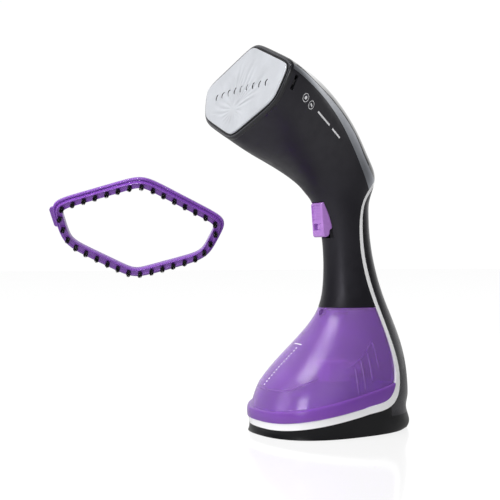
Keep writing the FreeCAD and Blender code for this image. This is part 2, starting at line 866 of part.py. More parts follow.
lever = padded("lever_form", "YZ_Plane", TRIGGER_SIDE, "Dims.trigger_width")
lever_shape = lever.Shape
tail_edge = crossing_edges(lever_shape, tail, trigger_bottom)
lever_shape = lever_shape.makeFillet(dim("trigger_tail_round"), tail_edge)
nose_edge = crossing_edges(lever_shape, face_bottom, trigger_bottom)
lever_shape = lever_shape.makeFillet(dim("trigger_nose_round"), nose_edge)
rim_edges = [edge for edge in lever_shape.Edges
             if abs(abs(edge.CenterOfMass.x) - dim("trigger_width") / 2) < 0.01
             and edge.BoundBox.YMax < tail + 0.01]
lever_shape = lever_shape.makeFillet(dim("trigger_round"), rim_edges)
window_floor = dim("window_floor")
window = Part.makeBox(dim("window_width"), THROUGH, dim("window_height"),
                      Vector(-dim("window_width") / 2, window_floor - THROUGH,
                             dim("window_level") - dim("window_height") / 2))
lever_shape = lever_shape.cut(window)

recess_low = dim("window_level") + dim("recess_rise")
recess_high = trigger_top - dim("recess_drop")
recess_side = -dim("recess_width") / 2
recess_floor = dim("recess_depth")
recess_wire = Part.makePolygon([
    Vector(recess_side, face_level(recess_low) - THROUGH, recess_low),
    Vector(recess_side, face_level(recess_low) + recess_floor, recess_low),
    Vector(recess_side, face_level(recess_high) + recess_floor, recess_high),
    Vector(recess_side, face_level(recess_high) - THROUGH, recess_high),
    Vector(recess_side, face_level(recess_low) - THROUGH, recess_low),
])
recess = Part.Face(recess_wire).extrude(Vector(dim("recess_width"), 0, 0))
lever_shape = lever_shape.cut(recess)
for index in range(int(dim("rib_count"))):
    z = dim("window_level") + dim("rib_rise") + index * dim("rib_pitch")
    rib_start = face_level(z) + dim("rib_depth") - THROUGH
    corner = Vector(-dim("rib_width") / 2, rib_start, z - dim("rib_height") / 2)
    groove = Part.makeBox(dim("rib_width"), THROUGH, dim("rib_height"), corner)
    lever_shape = lever_shape.cut(groove)
pin_start = Vector(-dim("pin_length"), hub_y, hub_z)
pin_bore = dim("pin_radius") + dim("pin_clearance")
pin_hole = Part.makeCylinder(pin_bore, 2 * dim("pin_length"), pin_start, X_AXIS)
pocket_start = Vector(0, trigger_back - 2, dim("spring_level"))
spring_pocket = Part.makeCylinder(dim("spring_radius") + 0.8, 4, pocket_start, Y_AXIS)
lever_shape = lever_shape.cut(pin_hole).cut(spring_pocket)
doc.removeObject("lever_form")
free_form("trigger", lever_shape)

lock_y = window_floor - dim("lock_depth") - 0.1
lock_x = dim("window_width") / 2 - dim("lock_width") - dim("part_gap")
lock_block = solid("Box", "lock_block", at(lock_x, lock_y, dim("window_level") - dim("lock_height") / 2),
                   Length="Dims.lock_width", Width="Dims.lock_depth", Height="Dims.lock_height")
lock_fillet = doc.addObject("Part::Chamfer", "lock_bevel")
lock_fillet.Base = lock_block
doc.recompute()
front_of_lock = [(i + 1, 0.5, 0.5) for i, e in enumerate(lock_block.Shape.Edges)
                 if e.BoundBox.YMax < lock_y + 0.01]
lock_fillet.Edges = front_of_lock
keep(lock_fillet, "trigger_lock")

trigger_pin = solid("Cylinder", "trigger_pin", along_x(-dim("pin_length") / 2, hub_y, hub_z),
                    Radius="Dims.pin_radius", Height="Dims.pin_length")
keep(trigger_pin, "trigger_pin")

half = dim("bracket_width") / 2
web_y = dim("bracket_back") - dim("bracket_sheet")
web = Part.makeBox(2 * half, dim("bracket_sheet"), dim("bracket_top") - dim("bracket_bottom"),
                   Vector(-half, web_y, dim("bracket_bottom")))
bracket = web
for side in (-1, 1):
    ear_x = half - dim("bracket_sheet") if side > 0 else -half
    ear = Part.makeBox(dim("bracket_sheet"), web_y - 2.0 + 0.5, 10, Vector(ear_x, 2.0, hub_z - 5))
    bracket = bracket.fuse(ear)
bracket = bracket.cut(Part.makeCylinder(dim("pin_radius"), 2 * dim("pin_length"), pin_start, X_AXIS))
free_form("trigger_bracket", bracket)

spring_start = trigger_back - 1.9
spring_turns = web_y - spring_start - 2 * dim("spring_wire")
helix = Part.makeHelix(dim("spring_pitch"), spring_turns, dim("spring_radius"))
wire_ring = Part.Wire([Part.makeCircle(dim("spring_wire"), Vector(dim("spring_radius"), 0, 0), Y_AXIS)])
coil = Part.Wire(helix.Edges).makePipeShell([wire_ring], True, True)
free_form("trigger_spring", coil, along_y(0, spring_start + dim("spring_wire"), dim("spring_level")))

switch_y = web_y - dim("switch_depth")
switch = solid("Box", "switch_case", at(-dim("switch_width") / 2, switch_y,
                                        dim("switch_level") - dim("switch_height") / 2),
               Length="Dims.switch_width", Width="Dims.switch_depth", Height="Dims.switch_height")
tip_place = along_y(0, trigger_back + dim("switch_tip_gap"), dim("switch_level") + dim("switch_tip_rise"))
switch_tip = solid("Cylinder", "switch_tip", tip_place,
                   Radius="Dims.pin_radius", Height="Dims.switch_depth")
keep(fused("microswitch", [switch, switch_tip]), "microswitch")

# -------------------------------------------------------------- electronics
board = solid("Box", "circuit_board", at(-dim("board_width") / 2, dim("board_y"), dim("board_bottom")),
              Length="Dims.board_width", Width="Dims.board_thickness", Height="Dims.board_height")
keep(board, "circuit_board")
relay = solid("Box", "relay", at(-9, dim("board_y") - dim("relay_depth"), dim("board_bottom") + 5),
              Length="Dims.relay_width", Width="Dims.relay_depth", Height="Dims.relay_height")
capacitors = [relay]
for index in range(2):
    z = dim("board_bottom") + 27
    x = -5 + 10 * index
    place = along_y(x, dim("board_y") - dim("capacitor_length"), z)
    capacitors.append(solid("Cylinder", "capacitor_%d" % index, place,
                            Radius="Dims.capacitor_radius", Height="Dims.capacitor_length"))
board_parts = doc.addObject("Part::Compound", "board_parts")
board_parts.Links = capacitors
keep(board_parts, "board_parts")

# ------------------------------------------------------------ pump and hoses
pump_y = dim("pump_y")
pump_z = dim("pump_z")
motor = solid("Cylinder", "pump_motor", along_x(dim("pump_start"), pump_y, pump_z),
              Radius="Dims.pump_radius", Height="Dims.motor_length")
keep(motor, "pump_motor")
head_x = dim("pump_start") + dim("motor_length")
pump_head = solid("Cylinder", "pump_head", along_x(head_x, pump_y, pump_z),
                  Radius="Dims.pump_radius", Height="Dims.pump_head_length")
keep(pump_head, "pump_head")


def pump_mount(index, x):
    ring = solid("Cylinder", "mount_outer_%d" % index, along_x(x, pump_y, pump_z),
                 Radius="Dims.mount_radius", Height="Dims.mount_width")
    bore = solid("Cylinder", "mount_bore_%d" % index, along_x(x - 1, pump_y, pump_z),
                 Radius="Dims.pump_radius", Height="Dims.mount_width + 2")
    return joined("Cut", "pump_mount_%d" % index, ring, bore)


pump_mounts = doc.addObject("Part::Compound", "pump_mounts")
pump_mounts.Links = [pump_mount(0, dim("pump_start") + 4), pump_mount(1, head_x - 8)]
keep(pump_mounts, "pump_mounts")

spigot_z = dim("spigot_level")
spigot = turned("suction_spigot", [
    (dim("spigot_bore"), 0),
    (dim("spigot_radius") - 0.8, 0),
    (dim("spigot_radius"), 0.8),
    (dim("spigot_radius"), dim("spigot_flange_start") - dim("spigot_tip")),
    (dim("spigot_flange"), dim("spigot_flange_start") - dim("spigot_tip")),
    (dim("spigot_flange"), dim("spigot_flange_end") - dim("spigot_tip")),
    (dim("spigot_radius") - 1, dim("spigot_flange_end") - dim("spigot_tip")),
    (dim("spigot_radius") - 1, dim("spigot_end") - dim("spigot_tip")),
    (dim("spigot_bore"), dim("spigot_end") - dim("spigot_tip")),
], along_y(0, dim("spigot_tip"), spigot_z))
keep(spigot, "suction_spigot")

outlet_x = head_x + dim("pump_head_length") / 2
low_side = pump_z - dim("pump_radius")
high_side = pump_z + dim("pump_radius")
SUCTION_ROUTE = [
    (0, dim("spigot_end"), spigot_z),
    (0, 53, spigot_z),
    (outlet_x, 51.5, spigot_z + 0.5),
    (outlet_x, pump_y, low_side - 0.4),
]
free_form("suction_hose", tube(SUCTION_ROUTE, dim("hose_radius"), 5.0, dim("hose_bore")))


def head_point(x, y, z):
    p = head_place.multVec(Vector(x, y, z))
    return (p.x, p.y, p.z)


inlet_end = dim("lid_back") - dim("inlet_length")
PRESSURE_ROUTE = [
    (outlet_x, pump_y, high_side + 0.2),
    (outlet_x, pump_y, 88),
    (9, 43, 106),
    (6, 33.5, 128),
    (6, 31, 160),
    (6, 23, 194),
    (4, 2, 220),
    head_point(0, inlet_y, inlet_end - 14),
    head_point(0, inlet_y, inlet_end),
]
free_form("pressure_hose", tube(PRESSURE_ROUTE, dim("hose_radius"), 30.0, dim("hose_bore")))

LOOM_ROUTE = [
    (0, 48.6, 32),
    (-14, 46.5, 34),
    (-23.5, 45.5, 45),
    (-23.5, 45.5, 74),
    (-13, 42.5, 99),
    (-7, 34, 124),
    (-7, 31, 160),
    (-7, 24, 195),
    (-9, 4, 224),
    head_point(-24, 2, dim("shield_back") - 14),
    head_point(-24, 2, dim("shield_back") - 0.3),
]
free_form("wiring_loom", tube(LOOM_ROUTE, dim("loom_radius"), 25.0))

# ---------------------------------------------------------------- cord inlet
gland = turned("cord_gland", [
    (dim("gland_bore"), 0),
    (dim("gland_radius") + 2, 0),
    (dim("gland_radius") + 2, 2),
    (dim("gland_radius"), 2),
    (dim("gland_radius"), dim("gland_length") - 1),
    (dim("gland_radius") - 1, dim("gland_length")),
    (dim("gland_bore"), dim("gland_length")),
], along_y(0, dim("gland_outer") - dim("gland_length"), dim("inlet_height")))
keep(gland, "cord_gland")

clamp_bottom = dim("inlet_height") - dim("clamp_height") / 2
clamp_block = solid("Box", "clamp_block", at(-dim("clamp_width") / 2, dim("clamp_y"), clamp_bottom),
                    Length="Dims.clamp_width", Width="Dims.clamp_depth", Height="Dims.clamp_height")
clamp_bore = solid("Cylinder", "clamp_bore", along_y(0, dim("clamp_y") - 1, dim("inlet_height")),
                   Radius="Dims.gland_bore + 0.1", Height="Dims.clamp_depth + 2")
keep(joined("Cut", "cord_clamp", clamp_block, clamp_bore), "cord_clamp")

# ---------------------------------------------------------------------- tank
gap = dim("part_gap")
thick = dim("tank_wall")
top = dim("tank_top")
tank_zone = below_seam(moved(WHITE_INNER, -gap, gap))
tank_inside = below_seam(moved(WHITE_INNER, -gap - thick, gap + thick))
start_y = dim("flange_start")
start_z = dim("flange_level")
slope = dim("flange_slope")
FLANGE_ENDS = [(-FAR, start_z + slope * (-FAR - start_y)), (FAR, start_z + slope * (FAR - start_y))]
low_wire = Part.makePolygon([
    Vector(-REACH, FLANGE_ENDS[0][0], FLANGE_ENDS[0][1]),
    Vector(-REACH, FLANGE_ENDS[1][0], FLANGE_ENDS[1][1]),
    Vector(-REACH, FAR, -FAR),
    Vector(-REACH, -FAR, -FAR),
    Vector(-REACH, FLANGE_ENDS[0][0], FLANGE_ENDS[0][1]),
])
low_zone = Part.Face(low_wire).extrude(Vector(2 * REACH, 0, 0))

slim = dim("tank_slim")
tank_form = casing_loft(0, slim)
cavity = casing_loft(thick, slim).common(slab(0, top - thick)).cut(tank_inside)
flange = casing_loft(-dim("flange_proud")).common(low_zone).cut(tank_zone)


def on_flange_top(edge):
    """True for an edge that lies in the sloping plane of the flange's top."""
    for share in (0.1, 0.5, 0.9):
        first, last = edge.ParameterRange
        point = edge.valueAt(first + share * (last - first))
        if abs(point.z - start_z - slope * (point.y - start_y)) > 0.01:
            return False
    return True


shoulder = [edge for edge in flange.Edges if on_flange_top(edge) and edge.CenterOfMass.y < 30]
flange = flange.makeFillet(dim("flange_round"), shoulder)
vessel = tank_form.common(slab(0, top)).cut(tank_zone).cut(low_zone).cut(cavity)

button_y = -8.0
button_z = dim("button_level")
boss = Part.makeCylinder(dim("button_radius") + 2.2, 10.5, Vector(0, button_y, button_z), Y_AXIS)
vessel = vessel.fuse(boss.common(tank_form).common(slab(0, top)))
button_hole = Part.makeCylinder(dim("button_radius") + 0.35, 9.0, Vector(0, button_y - 1, button_z), Y_AXIS)
vessel = vessel.cut(button_hole)

filler_y = dim("filler_y")
lip_radius = dim("filler_lip") + dim("plug_clearance")
vessel = vessel.cut(Part.makeCylinder(dim("filler_hole"), THROUGH, Vector(0, filler_y, dim("plug_bottom"))))
vessel = vessel.cut(Part.makeCylinder(lip_radius, THROUGH, Vector(0, filler_y, dim("filler_seat"))))
bush_start = dim("tank_back") - gap - dim("bush_length") - dim("bush_setback")
bush_cut = Vector(0, bush_start - dim("bush_length"), spigot_z)
vessel = vessel.cut(Part.makeCylinder(dim("bush_radius"), THROUGH, bush_cut, Y_AXIS))

free_form("tank_base", flange.cut(cavity))
free_form("water_tank", vessel)

plug_inner = dim("filler_hole") - dim("plug_wall")
plug_outer = dim("filler_hole") - dim("plug_clearance")
plug_bottom = dim("plug_bottom")
lip_height = dim("filler_seat") + 0.1 - plug_bottom
plug = turned("filler_plug", [
    (0, 0),
    (plug_inner, 0),
    (plug_inner, dim("plug_skirt")),
    (plug_outer, dim("plug_skirt")),
    (plug_outer, lip_height),
    (dim("filler_lip"), lip_height),
    (dim("filler_lip"), top - plug_bottom),
    (0, top - plug_bottom),
], at(0, filler_y, plug_bottom))
keep(plug, "filler_plug")
seal_outer = dim("filler_hole") - dim("seal_clearance")
plug_seal = turned("filler_seal", [
    (plug_inner, 0),
    (seal_outer, 0),
    (seal_outer, dim("seal_height")),
    (plug_inner, dim("seal_height")),
], at(0, filler_y, dim("seal_bottom")))
keep(plug_seal, "filler_seal")

bush = turned("outlet_bush", [
    (dim("bush_bore"), 0),
    (dim("bush_radius"), 0),
    (dim("bush_radius"), dim("bush_length")),
    (dim("bush_bore"), dim("bush_length")),
], along_y(0, bush_start, spigot_z))
keep(bush, "outlet_bush")

filter_start = dim("filter_y")
filter_end = filter_start + dim("filter_depth")
filter_box = solid("Box", "filter_box", at(-dim("filter_width") / 2, filter_start,
                                           spigot_z - dim("filter_height") / 2),
                   Length="Dims.filter_width", Width="Dims.filter_depth", Height="Dims.filter_height")
filter_pipe = solid("Cylinder", "filter_pipe", along_y(0, filter_end - 1, spigot_z),
                    Radius="Dims.bush_bore + 1.4", Height=str(bush_start - filter_end + 1))
filter_form = fused("filter_form", [filter_box, filter_pipe])
filter_bore = solid("Cylinder", "filter_bore", along_y(0, filter_start + 3, spigot_z),
                    Radius="Dims.bush_bore", Height=str(bush_start - filter_start))
keep(joined("Cut", "suction_filter", filter_form, filter_bore), "suction_filter")

button = turned("tank_button", [
    (0, 0),
    (dim("button_radius") - 0.5, 0),
    (dim("button_radius"), 0.5),
    (dim("button_radius"), dim("button_length")),
    (0, dim("button_length")),
], along_y(0, -7.0, button_z))
keep(button, "tank_button")

# --------------------------------------------------------------------- brush
# The brush frame keeps the head's axes and hangs beside the steamer.
brush_turn = Rotation(Z_AXIS, 61.5) * Rotation(X_AXIS, 27.3) * Rotation(Y_AXIS, 6)
brush_place = Placement(Vector(-65.5, -142, 165.9), brush_turn * Rotation(X_AXIS, 90))
ring_flange = head_disc(dim("brush_outer"), dim("brush_back"), dim("brush_step"))
rail = head_disc(dim("brush_rail_outer"), dim("brush_step"), dim("brush_face"))
eye = head_disc(dim("brush_inner"), dim("brush_back") - 1, dim("brush_face") + 1,
                dim("brush_inner_sharpness"), FINE_RING_POINTS)
free_form("brush_frame", ring_flange.fuse(rail).cut(eye), brush_place)

rail_margin = (dim("brush_rail_outer") + dim("brush_inner")) / 2
rail_edges = hexagon_edges(rail_margin)


def rail_point(turn):
    """Point of the bristle rail's middle line at an angle round the ring."""
    cosine, sine = math.cos(turn), math.sin(turn)
    radius = hexagon_radius(cosine, sine, rail_edges)
    return Vector(radius * cosine, radius * sine, dim("brush_face"))


def even_rail_points(count):
    """Points at equal distances along the rail."""
    fine = [rail_point(2 * math.pi * i / 720) for i in range(721)]
    lengths = [0.0]
    for a, b in zip(fine, fine[1:]):
        lengths.append(lengths[-1] + (b - a).Length)
    spots = []
    index = 0
    for number in range(count):
        goal = lengths[-1] * (number + 0.5) / count
        while lengths[index + 1] < goal:
            index += 1
        spots.append(fine[index])
    return spots


tufts = []
for spot in even_rail_points(int(dim("tuft_count"))):
    tufts.append(Part.makeCylinder(dim("tuft_radius"), dim("tuft_length"), spot))
free_form("brush_bristles", Part.makeCompound(tufts), brush_place)


def side_place(side, margin, along):
    """Placement on a side edge of the plate outline, with x outward."""
    wide = Vector(dim("plate_half_width"), dim("plate_wide_level"), 0)
    low = Vector(dim("plate_low_half_width"), dim("plate_low_level"), 0)
    up = (wide - low).normalize()
    out = Vector(up.y, -up.x, 0)
    spot = (wide + low) * 0.5 + out * margin + up * along
    turn = math.degrees(math.atan2(out.y, out.x))
    if side > 0:
        return Placement(spot, Rotation(Z_AXIS, turn))
    return Placement(Vector(-spot.x, spot.y, 0), Rotation(Z_AXIS, 180 - turn))


sheet_thick = dim("hook_sheet")
hook_wide = dim("hook_width")
hook_back = dim("brush_back") - dim("hook_length")
hook_margin = dim("bezel_margin") + dim("hook_clearance")
barb = dim("hook_barb")
hooks = []
for side in (-1, 1):
    arm = Part.makeBox(sheet_thick, hook_wide, dim("hook_length"), Vector(0, -hook_wide / 2, hook_back))
    catch = Part.makeBox(barb + sheet_thick, hook_wide, barb, Vector(-barb, -hook_wide / 2, hook_back))
    hook = arm.fuse(catch).removeSplitter()
    hook.Placement = side_place(side, hook_margin, dim("hook_rise"))
    hooks.append(hook)
free_form("brush_hooks", Part.makeCompound(hooks), brush_place)

tab = Part.makeBox(dim("tab_depth") + 1, dim("tab_width"), dim("tab_height"),
                   Vector(-1, -dim("tab_width") / 2, dim("brush_back")))
tab_corners = [edge for edge in tab.Edges if abs(edge.CenterOfMass.x - dim("tab_depth")) < 0.01
               and abs(edge.CenterOfMass.z - dim("brush_back") - dim("tab_height") / 2) < 0.01]
tab = tab.makeFillet(dim("tab_round"), tab_corners)
tab.Placement = side_place(-1, dim("brush_outer"), dim("tab_rise"))
tab = tab.cut(head_disc(dim("brush_outer"), -THROUGH, THROUGH))
free_form("brush_tab", tab, brush_place)

# --------------------------------------------------------------------- checks
doc.recompute()
for obj in doc.Objects:
    for state in ("Invalid", "Error"):
        if state in obj.State:
            raise RuntimeError("%s is %s" % (obj.Name, obj.State))
for obj in nodes:
    if obj.Shape.isNull() or not obj.Shape.isValid():
        raise RuntimeError("bad shape: " + obj.Label)
    if len(obj.Shape.Solids) == 0:
        raise RuntimeError("no solid: " + obj.Label)

os.makedirs("parts", exist_ok=True)
for obj in nodes:
    obj.Shape.exportStep("parts/%s.step" % obj.Label)
    box = obj.Shape.BoundBox
    print("%-16s solids %2d volume %9.1f  x %6.1f %6.1f  y %6.1f %6.1f  z %6.1f %6.1f" % (
        obj.Label, len(obj.Shape.Solids), obj.Shape.Volume,
        box.XMin, box.XMax, box.YMin, box.YMax, box.ZMin, box.ZMax))
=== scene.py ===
"""Visual model of a hand-held garment steamer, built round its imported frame."""
import math
import random

import bmesh
import bpy
from mathutils import Matrix, Vector
from mathutils.bvhtree import BVHTree


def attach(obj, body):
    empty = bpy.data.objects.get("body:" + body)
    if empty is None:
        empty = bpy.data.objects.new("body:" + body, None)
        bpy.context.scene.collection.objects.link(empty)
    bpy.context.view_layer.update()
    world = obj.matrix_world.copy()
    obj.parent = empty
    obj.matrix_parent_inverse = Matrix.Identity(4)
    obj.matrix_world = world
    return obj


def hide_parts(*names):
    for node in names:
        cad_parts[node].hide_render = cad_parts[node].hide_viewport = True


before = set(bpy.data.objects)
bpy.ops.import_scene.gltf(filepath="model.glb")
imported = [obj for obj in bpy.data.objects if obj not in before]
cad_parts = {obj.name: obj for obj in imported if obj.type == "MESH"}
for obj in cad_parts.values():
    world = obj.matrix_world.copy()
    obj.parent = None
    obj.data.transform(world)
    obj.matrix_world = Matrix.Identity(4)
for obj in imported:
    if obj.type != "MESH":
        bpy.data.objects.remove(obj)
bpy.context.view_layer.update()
scene = bpy.context.scene
MM = 0.001

# ---------------------------------------------------------------- camera
TARGET = Vector((0, -75.35, 147.58)) * MM
AZIMUTH = math.radians(58.5)
ELEVATION = math.radians(-0.669)
DISTANCE = 742.7 * MM
SENSOR = 36.0
LENS = 1.8762 * SENSOR


def add_camera():
    """The scene's camera, placed by its bearing and height from the object's middle."""
    data = bpy.data.cameras.new("camera")
    data.sensor_width = SENSOR
    data.lens = LENS
    data.clip_start = 0.01
    data.clip_end = 50
    camera = bpy.data.objects.new("camera", data)
    scene.collection.objects.link(camera)
    back = Vector((math.sin(AZIMUTH) * math.cos(ELEVATION),
                   -math.cos(AZIMUTH) * math.cos(ELEVATION),
                   math.sin(ELEVATION)))
    camera.location = TARGET + back * DISTANCE
    camera.rotation_mode = "QUATERNION"
    camera.rotation_quaternion = (-back).to_track_quat("-Z", "Y")
    scene.camera = camera


add_camera()


# -------------------------------------------------------------- materials
# How fine each kind of unevenness is, as noise scales in object space.
PLASTIC_PATCHES = 45.0
PLASTIC_GLOSS = 110.0
PLASTIC_GRAIN = 2600.0
METAL_PATCHES = 60.0
METAL_GRAIN = 900.0
CLEAR_PATCHES = 30.0
CLEAR_GLOSS = 70.0
CLEAR_WAVES = 260.0


def put(node, values):
    """Sets a node's inputs by name."""
    for name, value in values.items():
        node.inputs[name].default_value = value


def rgba(colour):
    """A colour with full opacity."""
    return (colour[0], colour[1], colour[2], 1.0)


def scaled(colour, factor):
    """A colour made lighter or darker, kept within 0 and 1."""
    return tuple(min(1.0, max(0.0, channel * factor)) for channel in colour)


class Nodes:
    """A material's node tree with a Principled shader in place."""

    def __init__(self, name, settings):
        self.material = bpy.data.materials.new(name)
        self.material.use_nodes = True
        self.tree = self.material.node_tree
        self.shader = self.tree.nodes["Principled BSDF"]
        put(self.shader, settings)
        self.coords = self.add("ShaderNodeTexCoord")

    def add(self, kind, **values):
        """A new node of a kind, with its inputs set."""
        node = self.tree.nodes.new(kind)
        put(node, values)
        return node

    def link(self, out, into):
        """Joins an output to an input."""
        self.tree.links.new(out, into)

    def noise(self, scale, detail=3.0):
        """Solid noise that stays with the object."""
        node = self.add("ShaderNodeTexNoise", Scale=scale, Detail=detail)
        self.link(self.coords.outputs["Object"], node.inputs["Vector"])
        return node.outputs["Fac"]

    def vary_colour(self, fac, colour, other):
        """Lets the base colour drift between two colours."""
        node = self.add("ShaderNodeValToRGB")
        node.color_ramp.elements[0].position = 0.3
        node.color_ramp.elements[1].position = 0.7
        node.color_ramp.elements[0].color = rgba(colour)
        node.color_ramp.elements[1].color = rgba(other)
        self.link(fac, node.inputs["Fac"])
        self.link(node.outputs["Color"], self.shader.inputs["Base Color"])

    def vary_roughness(self, fac, low, high):
        """Lets the roughness drift between two values."""
        node = self.add("ShaderNodeMapRange")
        put(node, {"From Min": 0.35, "From Max": 0.65, "To Min": low, "To Max": high})
        self.link(fac, node.inputs["Value"])
        self.link(node.outputs["Result"], self.shader.inputs["Roughness"])

    def bump(self, fac, distance):
        """Raises the surface's shading by a distance in metres."""
        node = self.add("ShaderNodeBump", Strength=1.0, Distance=distance)
        self.link(fac, node.inputs["Height"])
        self.link(node.outputs["Normal"], self.shader.inputs["Normal"])


def plastic(name, colour, rough, grain=0.00001, vary=0.12, swing=0.06, **settings):
    """Moulded plastic: slightly uneven colour and gloss, and a fine grain."""
    nodes = Nodes(name, settings)
    broad = nodes.noise(PLASTIC_PATCHES)
    nodes.vary_colour(broad, scaled(colour, 1 - vary), scaled(colour, 1 + vary))
    nodes.vary_roughness(nodes.noise(PLASTIC_GLOSS), max(0.02, rough - swing), rough + swing)
    nodes.bump(nodes.noise(PLASTIC_GRAIN, 2.0), grain)
    return nodes.material


def metal(name, colour, rough, grain=0.000006, **settings):
    """Metal or metallic paint with a fine grain that also varies its gloss."""
    settings["Metallic"] = settings.get("Metallic", 1.0)
    nodes = Nodes(name, settings)
    broad = nodes.noise(METAL_PATCHES)
    nodes.vary_colour(broad, scaled(colour, 0.93), scaled(colour, 1.05))
    fine = nodes.noise(METAL_GRAIN)
    nodes.vary_roughness(fine, rough - 0.05, rough + 0.06)
    nodes.bump(fine, grain)
    return nodes.material


def clear(name, colour, rough, passing):
    """Tinted see-through plastic, which lets a share of the light pass."""
    nodes = Nodes(name, {"Transmission Weight": passing, "IOR": 1.46})
    broad = nodes.noise(CLEAR_PATCHES)
    nodes.vary_colour(broad, scaled(colour, 0.94), scaled(colour, 1.06))
    nodes.vary_roughness(nodes.noise(CLEAR_GLOSS), rough - 0.02, rough + 0.03)
    nodes.bump(nodes.noise(CLEAR_WAVES, 1.0), 0.00001)
    return nodes.material


COOL = {"Specular Tint": (0.90, 0.87, 1.0, 1.0)}
soft_black = plastic("soft_black", (0.0060, 0.0058, 0.0078), 0.42, grain=0.000012, **COOL)
rear_black = plastic("rear_black", (0.007, 0.007, 0.008), 0.27, **COOL)
foot_black = plastic("foot_black", (0.005, 0.005, 0.006), 0.34, **{"Specular IOR Level": 0.22})
gloss_black = plastic("gloss_black", (0.008, 0.008, 0.009), 0.09, grain=0.0, swing=0.03,
                      **{"Coat Weight": 0.5, "Coat Roughness": 0.04})
silver = metal("satin_silver", (0.43, 0.45, 0.49), 0.34)
# Grey metal that is lighter than the rim's black; on the rebuilt rim it is a painted highlight line
# along the crest.
bezel_grey = metal("bezel_grey", (0.10, 0.10, 0.11), 0.30, **{"Metallic": 0.7})
bezel_black = plastic("bezel_black", (0.006, 0.006, 0.008), 0.32)
white_gloss = plastic("white_gloss", (0.86, 0.86, 0.87), 0.14, grain=0.0, vary=0.02, swing=0.03,
                      **{"Coat Weight": 0.6, "Coat Roughness": 0.05})
tank_purple = clear("tank_purple", (0.47, 0.24, 0.73), 0.20, 0.74)
base_purple = clear("base_purple", (0.30, 0.11, 0.55), 0.20, 0.5)
rib_purple = plastic("rib_purple", (0.20, 0.09, 0.36), 0.25, vary=0.04)
filter_purple = plastic("filter_purple", (0.90, 0.62, 0.95), 0.35, vary=0.05)
# Near-black colour for the walls and floors of the plate's slits: painted shade that stands in for
# the shadow inside them.
slit_painted_shade = plastic("slit_painted_shade", (0.015, 0.015, 0.018), 0.5)
print_white = plastic("print_white", (0.80, 0.80, 0.82), 0.45, vary=0.04)
trigger_purple = plastic("trigger_purple", (0.44, 0.21, 0.62), 0.26, vary=0.05)
button_purple = plastic("button_purple", (0.10, 0.03, 0.20), 0.35, vary=0.05)
brush_purple = plastic("brush_purple", (0.19, 0.055, 0.39), 0.32, grain=0.0, vary=0.06, swing=0.03,
                       **{"Coat Weight": 0.4, "Coat Roughness": 0.25})
plate_metal = metal("plate_metal", (0.62, 0.639, 0.677), 0.40, **{"Metallic": 0.55})
cast_metal = metal("cast_metal", (0.45, 0.45, 0.46), 0.5, grain=0.00004)
steel = metal("steel", (0.60, 0.60, 0.60), 0.28)
rubber = plastic("rubber", (0.010, 0.010, 0.011), 0.65, grain=0.00003)
silicone = plastic("silicone", (0.55, 0.12, 0.06), 0.5)
dark_trim = plastic("dark_trim", (0.006, 0.006, 0.007), 0.45)
inner_plastic = plastic("inner_plastic", (0.05, 0.05, 0.055), 0.5, grain=0.00002)
board_green = plastic("board_green", (0.02, 0.14, 0.05), 0.4, vary=0.2)
bristle_black = plastic("bristle_black", (0.004, 0.004, 0.005), 0.45, grain=0.0, vary=0.3,
                        **{"Specular IOR Level": 0.3})

FINISH = {
    "body_shell": soft_black, "silver_trim": silver, "top_cover": gloss_black,
    "white_trim": white_gloss, "rear_cover": rear_black, "base_foot": foot_black,
    "tank_dock": inner_plastic, "neck_floor": inner_plastic, "base_plate": foot_black,
    "foot_pad": rubber, "base_screws": steel, "head_plate": plate_metal,
    "plate_gasket": dark_trim, "head_bezel": bezel_grey, "boiler_block": cast_metal,
    "boiler_seal": silicone, "boiler_lid": cast_metal, "boiler_screws": steel,
    "heating_element": steel, "thermostat": steel, "thermal_fuse": inner_plastic,
    "boiler_inlet": steel, "heat_shield": steel, "trigger": trigger_purple,
    "trigger_lock": trigger_purple, "trigger_pin": steel, "trigger_spring": steel,
    "trigger_bracket": inner_plastic, "microswitch": inner_plastic,
    "circuit_board": board_green, "board_parts": inner_plastic,
    "pressure_hose": silicone, "wiring_loom": rubber, "suction_spigot": inner_plastic,
    "suction_hose": silicone, "pump_motor": steel, "pump_head": inner_plastic,
    "pump_mounts": rubber, "cord_gland": rubber, "cord_clamp": inner_plastic,
    "water_tank": tank_purple, "tank_base": base_purple, "filler_plug": base_purple,
    "filler_seal": rubber, "outlet_bush": rubber, "suction_filter": filter_purple,
    "tank_button": button_purple, "brush_frame": brush_purple,
    "brush_bristles": bristle_black, "brush_hooks": brush_purple,
    "brush_tab": brush_purple,
}

for node_name, node_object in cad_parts.items():
    for slot in node_object.material_slots:
        slot.link = "OBJECT"
        slot.material = FINISH[node_name]

# --------------------------------------------------------- detail pieces
# The plate's hexagon, in mm in its own plane: x across, y up the plate.
CORNERS = [(0, 37.7), (61.5, 11.0), (52.5, -15.5), (0, -37.7), (-52.5, -15.5), (-61.5, 11.0)]
HALF_WIDTH = 61.5
HALF_HEIGHT = 37.7
SOFT_CORNER = 12
SHARP_CORNER = 17
RING_STEPS = 256


def mm(*point):
    """A point given in millimetres."""
    return Vector(point) * MM


def turned(axis, degrees):
    """A turn about one axis."""
    return Matrix.Rotation(math.radians(degrees), 4, axis)


IN_MM = Matrix.Scale(MM, 4)
HEAD_PLACE = Matrix.Translation(mm(0, -79.2, 272.1)) @ turned("X", 74) @ IN_MM
BRUSH_PLACE = (Matrix.Translation(mm(-65.5, -142, 165.9)) @ turned("Z", 61.5)
               @ turned("X", 27.3) @ turned("Y", 6) @ turned("X", 90) @ IN_MM)


